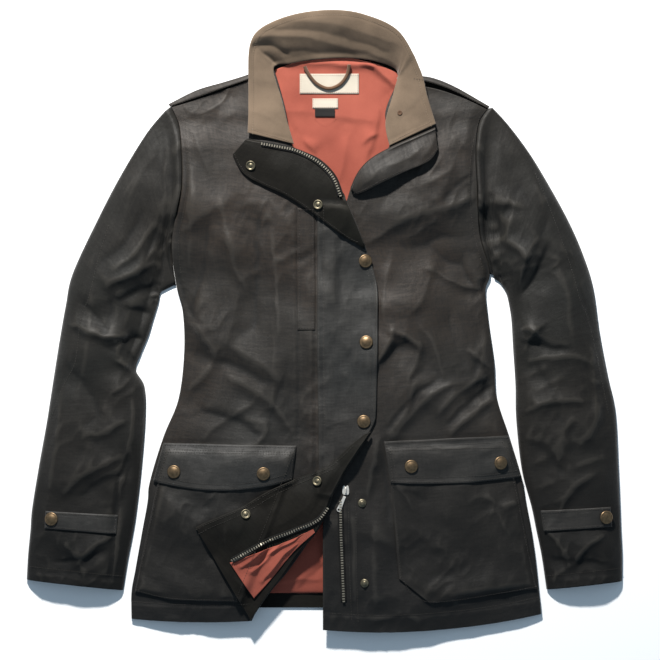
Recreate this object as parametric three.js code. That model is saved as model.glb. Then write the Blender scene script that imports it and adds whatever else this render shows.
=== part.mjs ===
// Waxed cotton jacket laid flat on a table, front up, zip open at the neck and at the hem.
// Millimetres. +Z up off the table, +Y towards the collar, +X towards the wearer's left.
// Left and right are the wearer's own.
import * as THREE from "three";

// Driving sizes
const CLOTH = 1.8;            // waxed cotton with its lining
const LINING = 1.2;           // lining panels that show
const TURNED = 1.6;           // turned-back edges
const TRIM = 1.4;             // flaps, tabs and welts
const LABEL = 0.8;
const SEAM_GAP = 0.3;         // between pieces sewn together
const LAID_GAP = 0.55;        // between a piece and the cloth it lies on
const FOLD_RADIUS = 4.2;      // roll of a turned-back edge
const CAP = { diameter: 16.6, height: 3.4 };
const SOCKET = { diameter: 12.2, bore: 5.4, height: 1.8 };
const STUD = { diameter: 10.8, post: 4.6, height: 3.4 };
const LOOP_RADIUS = 2.1;
const ARMHOLE_STEPS = 12;     // points of the armhole seam, shared by front, back and sleeve

// Materials
const cloth = (color, roughness, metalness = 0) =>
  new THREE.MeshStandardMaterial({ color, roughness, metalness, side: THREE.FrontSide });
const WAXED = cloth(0x35332e, 0.62);
const FACING = cloth(0x2e2d2a, 0.7);
const COLLAR_CLOTH = cloth(0x84765f, 0.92);
const LINING_CLOTH = cloth(0xc86a58, 0.85);
const LOOP_CLOTH = cloth(0x5a4230, 0.85);
const LABEL_CLOTH = cloth(0xe6ddc8, 0.85);
const LABEL_BLACK = cloth(0x1c1c1c, 0.85);
const TAPE_CLOTH = cloth(0x2b2926, 0.8);
const SNAP_BRASS = cloth(0x7d5a3c, 0.42, 0.9);
const SNAP_RING = cloth(0xa98247, 0.35, 0.95);
const SLIDER_METAL = cloth(0xc9c9c6, 0.28, 1);

// Plan of the body
// Rows of the fronts run from the side edge to the zip edge, hem first.
// bow: how far the middle of the row swings towards the collar.
const RIGHT_FRONT_ROWS = [
  { side: [-242, -372], middle: [-91, -374], bow: -3 },
  { side: [-242, -339], middle: [-77, -348], bow: 0 },
  { side: [-237, -310], middle: [-46, -312], bow: 0 },
  { side: [-229, -265], middle: [-12, -262], bow: 0 },
  { side: [-222, -226], middle: [8, -225], bow: 0 },
  { side: [-219, -200], middle: [11, -198], bow: 0 },
  { side: [-202, -144], middle: [11, -144], bow: 0 },
  { side: [-183, -96], middle: [11, -96], bow: 0 },
  { side: [-176, -36], middle: [11, -36], bow: 0 },
  { side: [-178, 14], middle: [11, 14], bow: 0 },
  { side: [-186, 48], middle: [11, 59], bow: 0 },
  { side: [-191, 102], middle: [12, 102], bow: 0 },
  { side: [-179, 165], middle: [22, 146], bow: 0 },
  { side: [-179, 215], middle: [-5, 196], bow: 0 },
  { side: [-182, 245], middle: [-38, 216], bow: 0 },
  { side: [-187, 259], middle: [-50, 272], bow: -2 },
  { side: [-192, 269], middle: [-63, 317], bow: -3 },
];
const LEFT_FRONT_ROWS = [
  { side: [272, -366], middle: [-2, -385.3], bow: -10.6 },
  { side: [269, -336], middle: [-2, -348], bow: -5 },
  { side: [262, -276], middle: [-2, -298], bow: 0 },
  { side: [253, -226], middle: [-2, -222], bow: 0 },
  { side: [247, -194], middle: [-1, -185], bow: 0 },
  { side: [232, -144], middle: [0, -144], bow: 0 },
  { side: [216, -94], middle: [1, -94], bow: 0 },
  { side: [213, -50], middle: [1, -50], bow: 0 },
  { side: [206, 0], middle: [1, 0], bow: 0 },
  { side: [202, 40], middle: [2, 40], bow: 0 },
  { side: [207, 62], middle: [3, 62], bow: 0 },
  { side: [194, 111], middle: [13, 102], bow: 0 },
  { side: [191, 169], middle: [26, 146], bow: 0 },
  { side: [189, 209], middle: [43, 189], bow: 0 },
  { side: [192, 244], middle: [80, 218], bow: 0 },
  { side: [198, 258], middle: [76, 262], bow: 3 },
  { side: [204, 266], middle: [91, 299], bow: 7 },
];

// height of the fronts over the back, by distance up the body
const BODY_RISE = [
  { y: -390, edge: 2.1, rise: 9 },
  { y: -330, edge: 2.1, rise: 14 },
  { y: -230, edge: 2.1, rise: 19 },
  { y: -120, edge: 2.1, rise: 21 },
  { y: -20, edge: 2.1, rise: 21 },
  { y: 48, edge: 2.1, rise: 20 },
  { y: 100, edge: 10, rise: 11 },
  { y: 160, edge: 13, rise: 8 },
  { y: 215, edge: 10, rise: 8 },
  { y: 255, edge: 4.5, rise: 9 },
  { y: 290, edge: 2.1, rise: 7 },
  { y: 330, edge: 2.1, rise: 4 },
];

// largest folds of the body: a ridge where lift is above zero, a trough below
const BODY_FOLDS = [
  { from: [68, -46], to: [92, -6], width: 26, lift: 2.6 },
  { from: [92, -6], to: [150, -52], width: 34, lift: 2.2 },
  { from: [182, 150], to: [96, 96], width: 30, lift: 2.4 },
  { from: [176, 112], to: [120, 20], width: 34, lift: -2.2 },
  { from: [-172, 138], to: [-96, 84], width: 30, lift: 2.4 },
  { from: [-176, 96], to: [-118, -6], width: 34, lift: -2.4 },
  { from: [-150, 30], to: [-140, -120], width: 36, lift: 2.4 },
  { from: [168, -20], to: [178, -130], width: 36, lift: 2.2 },
  { from: [-60, -60], to: [-150, -136], width: 34, lift: -1.8 },
  { from: [70, -210], to: [58, -360], width: 36, lift: 2.4 },
  { from: [-180, -230], to: [-196, -350], width: 34, lift: -1.6 },
];

// Sleeves
// Stations run from the armhole to the cuff: outer edge, inner edge, height of the top.
const RIGHT_SLEEVE = [
  { outer: [-199, 264], inner: [-190, 47], top: 0 },
  { outer: [-223, 235], inner: [-200, 42], top: 15 },
  { outer: [-254, 184], inner: [-206, 38], top: 19 },
  { outer: [-281, 132], inner: [-209, 26], top: 21 },
  { outer: [-314, 61], inner: [-216, 4], top: 22 },
  { outer: [-323, 20], inner: [-222, -16], top: 21 },
  { outer: [-331, -26], inner: [-231, -38], top: 23 },
  { outer: [-338, -70], inner: [-238, -60], top: 20 },
  { outer: [-342, -96], inner: [-227, -82], top: 21 },
  { outer: [-347, -128], inner: [-226, -122], top: 22 },
  { outer: [-357, -184], inner: [-231, -185], top: 20 },
  { outer: [-365, -234], inner: [-237, -236], top: 18 },
  { outer: [-367, -260], inner: [-241, -262], top: 17 },
  { outer: [-370, -292], inner: [-248, -298], top: 16 },
  { outer: [-371.7, -323], inner: [-254, -336], top: 15 },
];
const LEFT_SLEEVE = [
  { outer: [210, 268], inner: [212, 60], top: 0 },
  { outer: [230, 246], inner: [213, 56], top: 15 },
  { outer: [254, 214], inner: [219, 52], top: 19 },
  { outer: [275, 180], inner: [224, 46], top: 21 },
  { outer: [303, 129], inner: [229, 37], top: 22 },
  { outer: [322, 86], inner: [233, 21], top: 21 },
  { outer: [335, 44], inner: [236, 1], top: 22 },
  { outer: [343, -12], inner: [238, -32], top: 23 },
  { outer: [353, -65], inner: [241, -78], top: 21 },
  { outer: [363, -112], inner: [242, -122], top: 22 },
  { outer: [367, -185], inner: [249, -185], top: 20 },
  { outer: [369, -231], inner: [261, -231], top: 18 },
  { outer: [370, -259], inner: [267, -260], top: 17 },
  { outer: [371.6, -292], inner: [274, -294], top: 16 },
  { outer: [371.4, -325], inner: [280, -335], top: 15 },
];
// largest folds of the sleeves, at the elbow and over the forearm
const SLEEVE_FOLDS = [
  { from: [-311, -4], to: [-244, -18], width: 24, lift: 2.6 },
  { from: [-300, -34], to: [-252, -42], width: 26, lift: -2.2 },
  { from: [-262, 30], to: [-214, 52], width: 24, lift: -2.4 },
  { from: [-218, 196], to: [-256, 120], width: 34, lift: 2 },
  { from: [-262, -172], to: [-322, -212], width: 28, lift: 1.8 },
  { from: [279, 82], to: [252, 40], width: 24, lift: -2.4 },
  { from: [246, 212], to: [280, 122], width: 34, lift: 2 },
  { from: [240, -30], to: [280, -26], width: 24, lift: 2.2 },
  { from: [330, -192], to: [296, -238], width: 28, lift: 1.8 },
  { from: [346, -268], to: [312, -300], width: 24, lift: 1.6 },
];
const ARMHOLE_PULL = [1, 0.72, 0.45, 0.22, 0.08];   // how far each station keeps the armhole's curve

// Pieces round the neck
// Collar stations run from the right front edge round the back neck to the left front edge.
const COLLAR_ROWS = [
  { seam: [-38, 222], rim: [-96, 236], rimHeight: 18 },
  { seam: [-46, 250], rim: [-95, 259], rimHeight: 19 },
  { seam: [-54, 282], rim: [-95, 284], rimHeight: 20 },
  { seam: [-63, 318], rim: [-94, 338], rimHeight: 24 },
  { seam: [-43, 323], rim: [-82, 364], rimHeight: 28 },
  { seam: [-12, 328], rim: [-42, 382], rimHeight: 31 },
  { seam: [26, 330], rim: [7, 388.6], rimHeight: 32 },
  { seam: [62, 326], rim: [50, 383], rimHeight: 31 },
  { seam: [90, 314], rim: [93, 362], rimHeight: 28 },
  { seam: [86, 288], rim: [119, 316], rimHeight: 22 },
  { seam: [76, 250], rim: [129, 280], rimHeight: 19 },
  { seam: [81, 220], rim: [139, 247], rimHeight: 18 },
];
// Yoke strips over the shoulders: seam on the front, fold at the top of the shoulder.
const RIGHT_YOKE = [
  { seam: [-193.5, 270], fold: [-196, 273.5] },
  { seam: [-158, 282], fold: [-161, 291] },
  { seam: [-131, 291.5], fold: [-128, 301] },
  { seam: [-95, 304], fold: [-96, 311] },
  { seam: [-66, 317.5], fold: [-68, 322.5] },
];
const LEFT_YOKE = [
  { seam: [205, 267.5], fold: [207.5, 270.5] },
  { seam: [163, 289], fold: [166, 294.5] },
  { seam: [134, 299.5], fold: [137, 306.5] },
  { seam: [112, 303.5], fold: [114, 309.5] },
  { seam: [96, 302.5], fold: [98, 308.5] },
];
// Turned-back pieces: rows from the fold to the free edge.
const RIGHT_LAPEL_ROWS = [
  { fold: [-97, 229], free: [-115, 209], rise: 2 },
  { fold: [-78, 225], free: [-102, 186], rise: 3 },
  { fold: [-56, 220.5], free: [-80, 172], rise: 4 },
  { fold: [-34, 215], free: [-50, 158], rise: 5 },
  { fold: [-7, 204], free: [-19, 138], rise: 5 },
  { fold: [14, 184], free: [12, 115], rise: 4 },
  { fold: [25, 157], free: [29, 103], rise: 3 },
  { fold: [41, 120], free: [40, 97], rise: 2 },
  { fold: [50, 97], free: [50, 90.5], rise: 1 },
];
const LEFT_LAPEL_ROWS = [
  { fold: [138, 243], free: [142, 215], rise: 2 },
  { fold: [111, 231], free: [130, 200], rise: 4 },
  { fold: [84, 219], free: [101, 187], rise: 5 },
  { fold: [59, 205], free: [74, 174], rise: 5 },
  { fold: [43, 189], free: [52, 163], rise: 4 },
  { fold: [32, 167], free: [39, 158], rise: 2 },
];
// Storm flap rows run from its seam on the right front to its free edge, neck end first.
const FLAP_ROWS = [
  { seam: [-9, 146], free: [25, 143], rise: 2 },
  { seam: [-9, 121], free: [40, 118], rise: 3 },
  { seam: [-9, 89], free: [53, 89], rise: 3 },
  { seam: [-9, 48], free: [65, 48], rise: 3 },
  { seam: [-9, 6], free: [66, 6], rise: 3 },
  { seam: [-9, -36], free: [66, -36], rise: 3 },
  { seam: [-8.5, -80], free: [65, -80], rise: 3 },
  { seam: [-8, -112], free: [64, -112], rise: 3 },
  { seam: [-7.5, -128], free: [61, -128], rise: 3 },
  { seam: [-7.5, -155], free: [45, -155], rise: 2 },
  { seam: [-7, -184], free: [27, -184], rise: 2 },
  { seam: [-6.5, -212], free: [11, -214], rise: 1 },
];
const CORNER_ROWS = [
  { fold: [58, -137], free: [51, -139], rise: 1 },
  { fold: [46, -156], free: [32, -154], rise: 2 },
  { fold: [26, -187], free: [4, -179], rise: 3 },
  { fold: [8, -221], free: [-39, -197], rise: 5 },
  { fold: [-7, -258], free: [-74, -213], rise: 6 },
  { fold: [-33, -290], free: [-101, -229], rise: 7 },
  { fold: [-54, -320], free: [-128, -241], rise: 6 },
  { fold: [-74, -346], free: [-147, -249], rise: 4 },
  { fold: [-92, -373], free: [-161, -256], rise: 3 },
];

// Linings that show
const NECK_LINING = {
  left: [[-12, 116], [-22, 150], [-48, 186], [-62, 230], [-66, 270], [-62, 316]],
  right: [[44, 116], [54, 150], [84, 186], [96, 230], [98, 266], [92, 312]],
  rows: 8, columns: 10, crown: 18,
};
const HEM_LINING = {
  left: [[-86, -340], [-70, -300], [-44, -250], [-30, -196]],
  right: [[24, -340], [26, -300], [28, -250], [30, -196]],
  rows: 6, columns: 6, crown: 0,
};
// gathered lining triangle on the turned corner
const CORNER_LINING = {
  left: [[-118, -300], [-80, -286], [-44, -272], [-14, -258]],
  right: [[-88, -345], [-64, -318], [-38, -286], [-12, -262]],
  rows: 8, columns: 5, crown: 0,
};

// Pockets, flaps, tabs, labels
// top: ends of the edge nearer the collar. low: the edge nearer the hem, each point with its
// share of the width. sag: how far that edge hangs between its ends.
const STRAIGHT = (from, to, sag = 0) => ({ low: [{ s: 0, at: from }, { s: 1, at: to }], sag });
const PANELS = {
  pocket_right: {
    top: [[-205, -178], [-40, -180]],
    low: [{ s: 0, at: [-238, -338] }, { s: 0.3, at: [-192, -348] }, { s: 1, at: [-108, -350] }],
    sag: 0,
  },
  pocket_left: {
    top: [[81, -180], [235, -174]],
    low: [{ s: 0, at: [93, -321] }, { s: 0.2, at: [132, -352] }, { s: 1, at: [266, -334] }],
    sag: 0,
  },
  pocket_flap_right: { top: [[-201, -152], [-36, -154]], ...STRAIGHT([-214, -199], [-41, -198], 12) },
  pocket_flap_left: { top: [[74, -151], [230, -142]], ...STRAIGHT([82, -201], [246, -194], 4) },
  chest_welt: { top: [[-34, 142], [-11, 142]], ...STRAIGHT([-34, -10], [-11, -10]) },
  label_main: { top: [[-31, 311], [43, 311]], ...STRAIGHT([-31, 286], [43, 286]) },
  label_small: { top: [[-15, 280], [17, 280]], ...STRAIGHT([-15, 267.6], [17, 267.6]) },
  label_tab: { top: [[-12, 267], [13, 267]], ...STRAIGHT([-12, 257], [13, 257]) },
  cuff_tab_right: { top: [[-349, -236], [-258, -241]], ...STRAIGHT([-350, -258], [-260, -265]) },
  cuff_tab_left: { top: [[270, -236], [358, -231]], ...STRAIGHT([274, -262], [360, -256]) },
};

const LOOP_PATH = [[-25, 320], [-19, 309], [-9, 298], [5, 292.5], [19, 297.5], [28, 309], [31, 322]];
const SNAP_CAPS = {
  cap_flap_1: [51, 76], cap_flap_2: [52, -25], cap_flap_3: [49, -124],
  cap_pocket_1: [-188, -187], cap_pocket_2: [-76, -189],
  cap_pocket_3: [108, -180], cap_pocket_4: [220, -176],
  cap_cuff_1: [-341, -246], cap_cuff_2: [352, -244],
};
const SOCKETS = {
  socket_1: [-92, 195], socket_2: [-8, 146], socket_3: [-9, -198], socket_4: [-98, -239],
};
const STUDS = { stud_1: [47, -226], stud_2: [50, -326] };

// zip: tape with its teeth, where it is open
const ZIP = { width: 7.5, thickness: 1.6 };
const ZIP_LAPEL = [[-78, 222], [-56, 218], [-34, 213], [-9, 200], [10, 181], [20, 157]];
const ZIP_CORNER = [[4, -232], [-6, -245], [-20, -253], [-35, -259], [-53, -266], [-71, -273],
  [-92, -284], [-115, -297]];
const ZIP_FRONT = [[20, -224], [20.5, -262], [22, -300], [24, -349]];
const SLIDER = { at: [26.5, -209.5], length: 12, width: 9, height: 4.6 };
const PULL = { from: [25.2, -217.4], to: [16.8, -236.4], width: 5.6, thickness: 1.5, hole: 1.5 };

// Building
const lerp = (a, b, t) => a + (b - a) * t;
const lerp2 = (p, q, t) => [lerp(p[0], q[0], t), lerp(p[1], q[1], t)];

// smooth value through a row of numbers, t from 0 to the last index
function smooth(values, t) {
  const last = values.length - 1;
  const i = Math.min(Math.floor(t), last - 1);
  const f = t - i;
  const at = (k) => values[Math.max(0, Math.min(last, k))];
  const [p, q, r, s] = [at(i - 1), at(i), at(i + 1), at(i + 2)];
  return q + 0.5 * f * (r - p + f * (2 * p - 5 * q + 4 * r - s + f * (3 * (q - r) + s - p)));
}
const smoothPoint = (points, t) => [
  smooth(points.map((p) => p[0]), t), smooth(points.map((p) => p[1]), t)];

function level(table, column, y) {
  if (y <= table[0].y) return table[0][column];
  for (let i = 1; i < table.length; i += 1) {
    if (y <= table[i].y) {
      const f = (y - table[i - 1].y) / (table[i].y - table[i - 1].y);
      const soft = f * f * (3 - 2 * f);
      return lerp(table[i - 1][column], table[i][column], soft);
    }
  }
  return table[table.length - 1][column];
}

// soft cross-section of a laid tube, 0 at both edges, 1 across the middle
const arch = (s) => {
  const away = Math.abs(2 * Math.max(0, Math.min(1, s)) - 1);
  return Math.pow(1 - Math.pow(away, 2.6), 0.75);
};

// lift of one fold at a point: a soft ridge that dies out at both ends
function foldLift(fold, x, y) {
  const dx = fold.to[0] - fold.from[0];
  const dy = fold.to[1] - fold.from[1];
  const length2 = dx * dx + dy * dy;
  const t = ((x - fold.from[0]) * dx + (y - fold.from[1]) * dy) / length2;
  const c = Math.max(0, Math.min(1, t));
  const off = Math.hypot(x - fold.from[0] - c * dx, y - fold.from[1] - c * dy);
  const across = Math.exp(-Math.pow(off / (fold.width * 0.5), 2));
  return fold.lift * across * Math.sin(Math.PI * (0.15 + 0.7 * c));
}

// Closed walls
function solid(positions, triangles) {
  const geometry = new THREE.BufferGeometry();
  geometry.setAttribute("position", new THREE.Float32BufferAttribute(positions, 3));
  geometry.setIndex(triangles);
  geometry.computeVertexNormals();
  return geometry;
}

// A wall grows from the lower face, given as rows of points, along its own normals.
// Its sewn edges stand upright.
function wall(grid, thickness, rolled = false) {
  const rows = grid.length;
  const columns = grid[0].length;
  const at = (r, c) => grid[Math.max(0, Math.min(rows - 1, r))][Math.max(0, Math.min(columns - 1, c))];
  const normals = grid.map((row, r) => row.map((_, c) => {
    const along = new THREE.Vector3().subVectors(at(r + 1, c), at(r - 1, c));
    const across = new THREE.Vector3().subVectors(at(r, c + 1), at(r, c - 1));
    return across.cross(along).normalize();
  }));
  const total = normals.flat().reduce((sum, n) => sum + n.z, 0);
  const way = total < 0 ? -1 : 1;
  const upright = new THREE.Vector3(0, 0, way);
  const edge = (r, c) => r === 0 || r === rows - 1 || c === 0 || c === columns - 1;
  const positions = [];
  grid.forEach((row) => row.forEach((p) => positions.push(p.x, p.y, p.z)));
  grid.forEach((row, r) => row.forEach((p, c) => {
    const n = !rolled && edge(r, c) ? upright : normals[r][c];
    positions.push(
      p.x + way * n.x * thickness, p.y + way * n.y * thickness, p.z + way * n.z * thickness);
  }));
  const lower = (r, c) => r * columns + c;
  const upper = (r, c) => rows * columns + r * columns + c;
  const triangles = [];
  const quad = (a, b, c, d) => {
    if (way > 0) triangles.push(a, b, c, a, c, d);
    else triangles.push(a, c, b, a, d, c);
  };
  for (let r = 0; r < rows - 1; r += 1) {
    for (let c = 0; c < columns - 1; c += 1) {
      quad(upper(r, c), upper(r, c + 1), upper(r + 1, c + 1), upper(r + 1, c));
      quad(lower(r, c), lower(r + 1, c), lower(r + 1, c + 1), lower(r, c + 1));
    }
    quad(upper(r, 0), upper(r + 1, 0), lower(r + 1, 0), lower(r, 0));
    const e = columns - 1;
    quad(upper(r + 1, e), upper(r, e), lower(r, e), lower(r + 1, e));
  }
  for (let c = 0; c < columns - 1; c += 1) {
    quad(upper(0, c + 1), upper(0, c), lower(0, c), lower(0, c + 1));
    const e = rows - 1;
    quad(upper(e, c), upper(e, c + 1), lower(e, c + 1), lower(e, c));
  }
  return solid(positions, triangles);
}

// What has been laid so far
// A height map of the pieces already laid, so that the next piece lies on them.
class Laid {
  constructor(cell = 1.5, halfWidth = 399, halfLength = 420) {
    this.cell = cell;
    this.halfWidth = halfWidth;
    this.halfLength = halfLength;
    this.columns = Math.round((2 * halfWidth) / cell) + 1;
    this.rows = Math.round((2 * halfLength) / cell) + 1;
    this.heights = new Float32Array(this.columns * this.rows);
  }

  add(geometry) {
    const p = geometry.getAttribute("position");
    const index = geometry.getIndex();
    const { cell, columns, rows } = this;
    for (let i = 0; i < index.count; i += 3) {
      const [a, b, c] = [0, 1, 2].map((k) => {
        const v = index.getX(i + k);
        return [(p.getX(v) + this.halfWidth) / cell, (p.getY(v) + this.halfLength) / cell, p.getZ(v)];
      });
      const area = (b[0] - a[0]) * (c[1] - a[1]) - (c[0] - a[0]) * (b[1] - a[1]);
      if (area > 1e-9) {
        const x0 = Math.max(0, Math.ceil(Math.min(a[0], b[0], c[0])));
        const x1 = Math.min(columns - 1, Math.floor(Math.max(a[0], b[0], c[0])));
        const y0 = Math.max(0, Math.ceil(Math.min(a[1], b[1], c[1])));
        const y1 = Math.min(rows - 1, Math.floor(Math.max(a[1], b[1], c[1])));
        for (let y = y0; y <= y1; y += 1) {
          for (let x = x0; x <= x1; x += 1) {
            const u = ((b[0] - x) * (c[1] - y) - (c[0] - x) * (b[1] - y)) / area;
            const v = ((c[0] - x) * (a[1] - y) - (a[0] - x) * (c[1] - y)) / area;
            const w = 1 - u - v;
            if (u >= -1e-6 && v >= -1e-6 && w >= -1e-6) {
              const z = u * a[2] + v * b[2] + w * c[2];
              const k = y * columns + x;
              if (z > this.heights[k]) this.heights[k] = z;
            }
          }
        }
      }
    }
  }

  // highest laid point within reach of a place
  top(x, y, reach = 1.6) {
    const { cell, columns, rows } = this;
    const cx = (x + this.halfWidth) / cell;
    const cy = (y + this.halfLength) / cell;
    const r = reach / cell;
    let best = 0;
    for (let j = Math.ceil(cy - r); j <= Math.floor(cy + r); j += 1) {
      for (let i = Math.ceil(cx - r); i <= Math.floor(cx + r); i += 1) {
        if (i >= 0 && j >= 0 && i < columns && j < rows) {
          best = Math.max(best, this.heights[j * columns + i]);
        }
      }
    }
    return best;
  }
}

const jacket = new THREE.Group();
jacket.name = "waxed_jacket";
const laid = new Laid();

// Lowers a grid of points on to the laid cloth, then raises it wherever a facet would cut in.
const SPOTS = [];
for (let i = 0; i <= 5; i += 1) {
  for (let j = 0; j <= 5; j += 1) SPOTS.push([i / 5, j / 5]);
}
function settle(grid, gap, from = 0, reach = 1.6) {
  grid.forEach((row) => row.forEach((p, c) => {
    if (c >= from) p.z = laid.top(p.x, p.y, reach) + gap;
  }));
  for (let pass = 0; pass < 5; pass += 1) {
    for (let r = 0; r < grid.length - 1; r += 1) {
      for (let c = from; c < grid[0].length - 1; c += 1) {
        const corner = [grid[r][c], grid[r][c + 1], grid[r + 1][c + 1], grid[r + 1][c]];
        for (const [u, v] of SPOTS) {
          // the facet is split along the first and third corners
          const weight = u > v ? [1 - u, u - v, v, 0] : [1 - v, 0, u, v - u];
          const at = (k) => corner.reduce((sum, p, i) => sum + weight[i] * p[k], 0);
          const short = laid.top(at("x"), at("y"), 1.1) + gap - at("z");
          if (short > 0) {
            const size = weight.reduce((sum, w) => sum + w * w, 0);
            corner.forEach((p, i) => { p.z += (short * weight[i]) / size; });
          }
        }
      }
    }
  }
  return grid;
}

function place(name, geometry, material, onTop = true) {
  const mesh = new THREE.Mesh(geometry, material);
  mesh.name = name;
  jacket.add(mesh);
  if (onTop) laid.add(geometry);
  return geometry;
}

// Body
function rowPoint(rows, t, s) {
  const side = smoothPoint(rows.map((r) => r.side), t);
  const middle = smoothPoint(rows.map((r) => r.middle), t);
  const bow = smooth(rows.map((r) => r.bow), t);
  const [x, y] = lerp2(side, middle, s);
  return [x, y + bow * 4 * s * (1 - s)];
}

// side edges of the body at a height up the body
function edgeAt(rows, y) {
  for (let i = 1; i < rows.length; i += 1) {
    const [a, b] = [rows[i - 1].side, rows[i].side];
    if (y <= b[1] || i === rows.length - 1) {
      return lerp(a[0], b[0], Math.max(0, Math.min(1, (y - a[1]) / (b[1] - a[1]))));
    }
  }
  return 0;
}

// underside of the fronts over the table
function bodyHeight(x, y) {
  const left = edgeAt(RIGHT_FRONT_ROWS, y);
  const right = edgeAt(LEFT_FRONT_ROWS, y);
  const s = (x - left) / (right - left);
  const edge = level(BODY_RISE, "edge", y);
  const rise = level(BODY_RISE, "rise", y);
  const inside = Math.min(1, 5 * Math.max(0, Math.min(s, 1 - s)));
  const folds = BODY_FOLDS.reduce((sum, fold) => sum + foldLift(fold, x, y), 0);
  return edge + rise * arch(s) + folds * inside;
}

// the right front passes over the left one beside the zip
const OVERLAP = { from: -34, to: -8, lift: CLOTH + LAID_GAP + 0.25 };
function overlapLift(x) {
  const f = Math.max(0, Math.min(1, (x - OVERLAP.from) / (OVERLAP.to - OVERLAP.from)));
  return OVERLAP.lift * f * f * (3 - 2 * f);
}

function frontGrid(rows, columns, lift) {
  const grid = [];
  const steps = (rows.length - 1) * 2;
  for (let r = 0; r <= steps; r += 1) {
    const row = [];
    for (let c = 0; c <= columns; c += 1) {
      const s = c / columns;
      const spread = 0.5 * s + 0.5 * s * s * (3 - 2 * s) + 0.12 * s * (1 - s) * (2 * s - 1);
      const [x, y] = rowPoint(rows, r / 2, spread);
      row.push(new THREE.Vector3(x, y, bodyHeight(x, y) + lift(x)));
    }
    grid.push(row);
  }
  return grid;
}

// armhole: plan points from the shoulder down to the armpit, shared by all that meet there
function armhole(rows) {
  const points = [];
  for (let i = 0; i <= ARMHOLE_STEPS; i += 1) {
    points.push(rowPoint(rows, rows.length - 1 - i / 2, 0));
  }
  return points;
}
const RIGHT_ARMHOLE = armhole(RIGHT_FRONT_ROWS);
const LEFT_ARMHOLE = armhole(LEFT_FRONT_ROWS);

function backOutline() {
  const side = (rows) => {
    const points = [];
    for (let r = 0; r <= (rows.length - 1) * 2; r += 1) points.push(rowPoint(rows, r / 2, 0));
    return points;
  };
  const right = side(RIGHT_FRONT_ROWS);
  const left = side(LEFT_FRONT_ROWS).reverse();
  const rightShoulder = [[-192.5, 272], [-161, 290], [-128, 300], [-96, 310], [-70, 320.5]];
  const neck = [[-43, 329], [-12, 334], [26, 335.5], [62, 332], [88, 320]];
  const leftShoulder = [[98, 307.5], [114, 308.5], [137, 305.5], [166, 293.5], [204.5, 269]];
  const hem = [[206, -364], [120, -358], [0, -358], [-84, -358], [-160, -364]];
  return [...right, ...rightShoulder, ...neck, ...leftShoulder, ...left, ...hem];
}

function flatSheet(outline, thickness) {
  const shape = new THREE.Shape(outline.map(([x, y]) => new THREE.Vector2(x, y)));
  const extruded = new THREE.ExtrudeGeometry(shape, { depth: thickness, bevelEnabled: false });
  const points = [];
  const found = new Map();
  const index = [];
  const p = extruded.getAttribute("position");
  for (let i = 0; i < p.count; i += 1) {
    const key = [p.getX(i), p.getY(i), p.getZ(i)].map((v) => v.toFixed(4)).join(" ");
    if (!found.has(key)) {
      found.set(key, points.length / 3);
      points.push(p.getX(i), p.getY(i), p.getZ(i));
    }
    index.push(found.get(key));
  }
  return solid(points, index);
}

place("back_panel", flatSheet(backOutline(), CLOTH), WAXED);

// Sheet between two plan lines, laid on what is below; the crown lifts its far end.
function liningSheet({ left, right, rows, columns, crown }, thickness) {
  const grid = [];
  for (let r = 0; r <= rows; r += 1) {
    const t = r / rows;
    const a = smoothPoint(left, t * (left.length - 1));
    const b = smoothPoint(right, t * (right.length - 1));
    const row = [];
    for (let c = 0; c <= columns; c += 1) {
      const s = c / columns;
      const [x, flatY] = lerp2(a, b, s);
      const y = flatY + crown * t * t * 4 * s * (1 - s);
      row.push(new THREE.Vector3(x, y, 0));
    }
    grid.push(row);
  }
  return wall(settle(grid, SEAM_GAP), thickness);
}
place("lining_neck", liningSheet(NECK_LINING, LINING), LINING_CLOTH);
place("lining_hem", liningSheet(HEM_LINING, LINING), LINING_CLOTH);

const FRONT_COLUMNS = 12;
const leftGrid = frontGrid(LEFT_FRONT_ROWS, FRONT_COLUMNS, () => 0);
const rightGrid = frontGrid(RIGHT_FRONT_ROWS, FRONT_COLUMNS, overlapLift);
place("front_left", wall(leftGrid, CLOTH), WAXED);
place("front_right", wall(rightGrid, CLOTH), WAXED);

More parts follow.
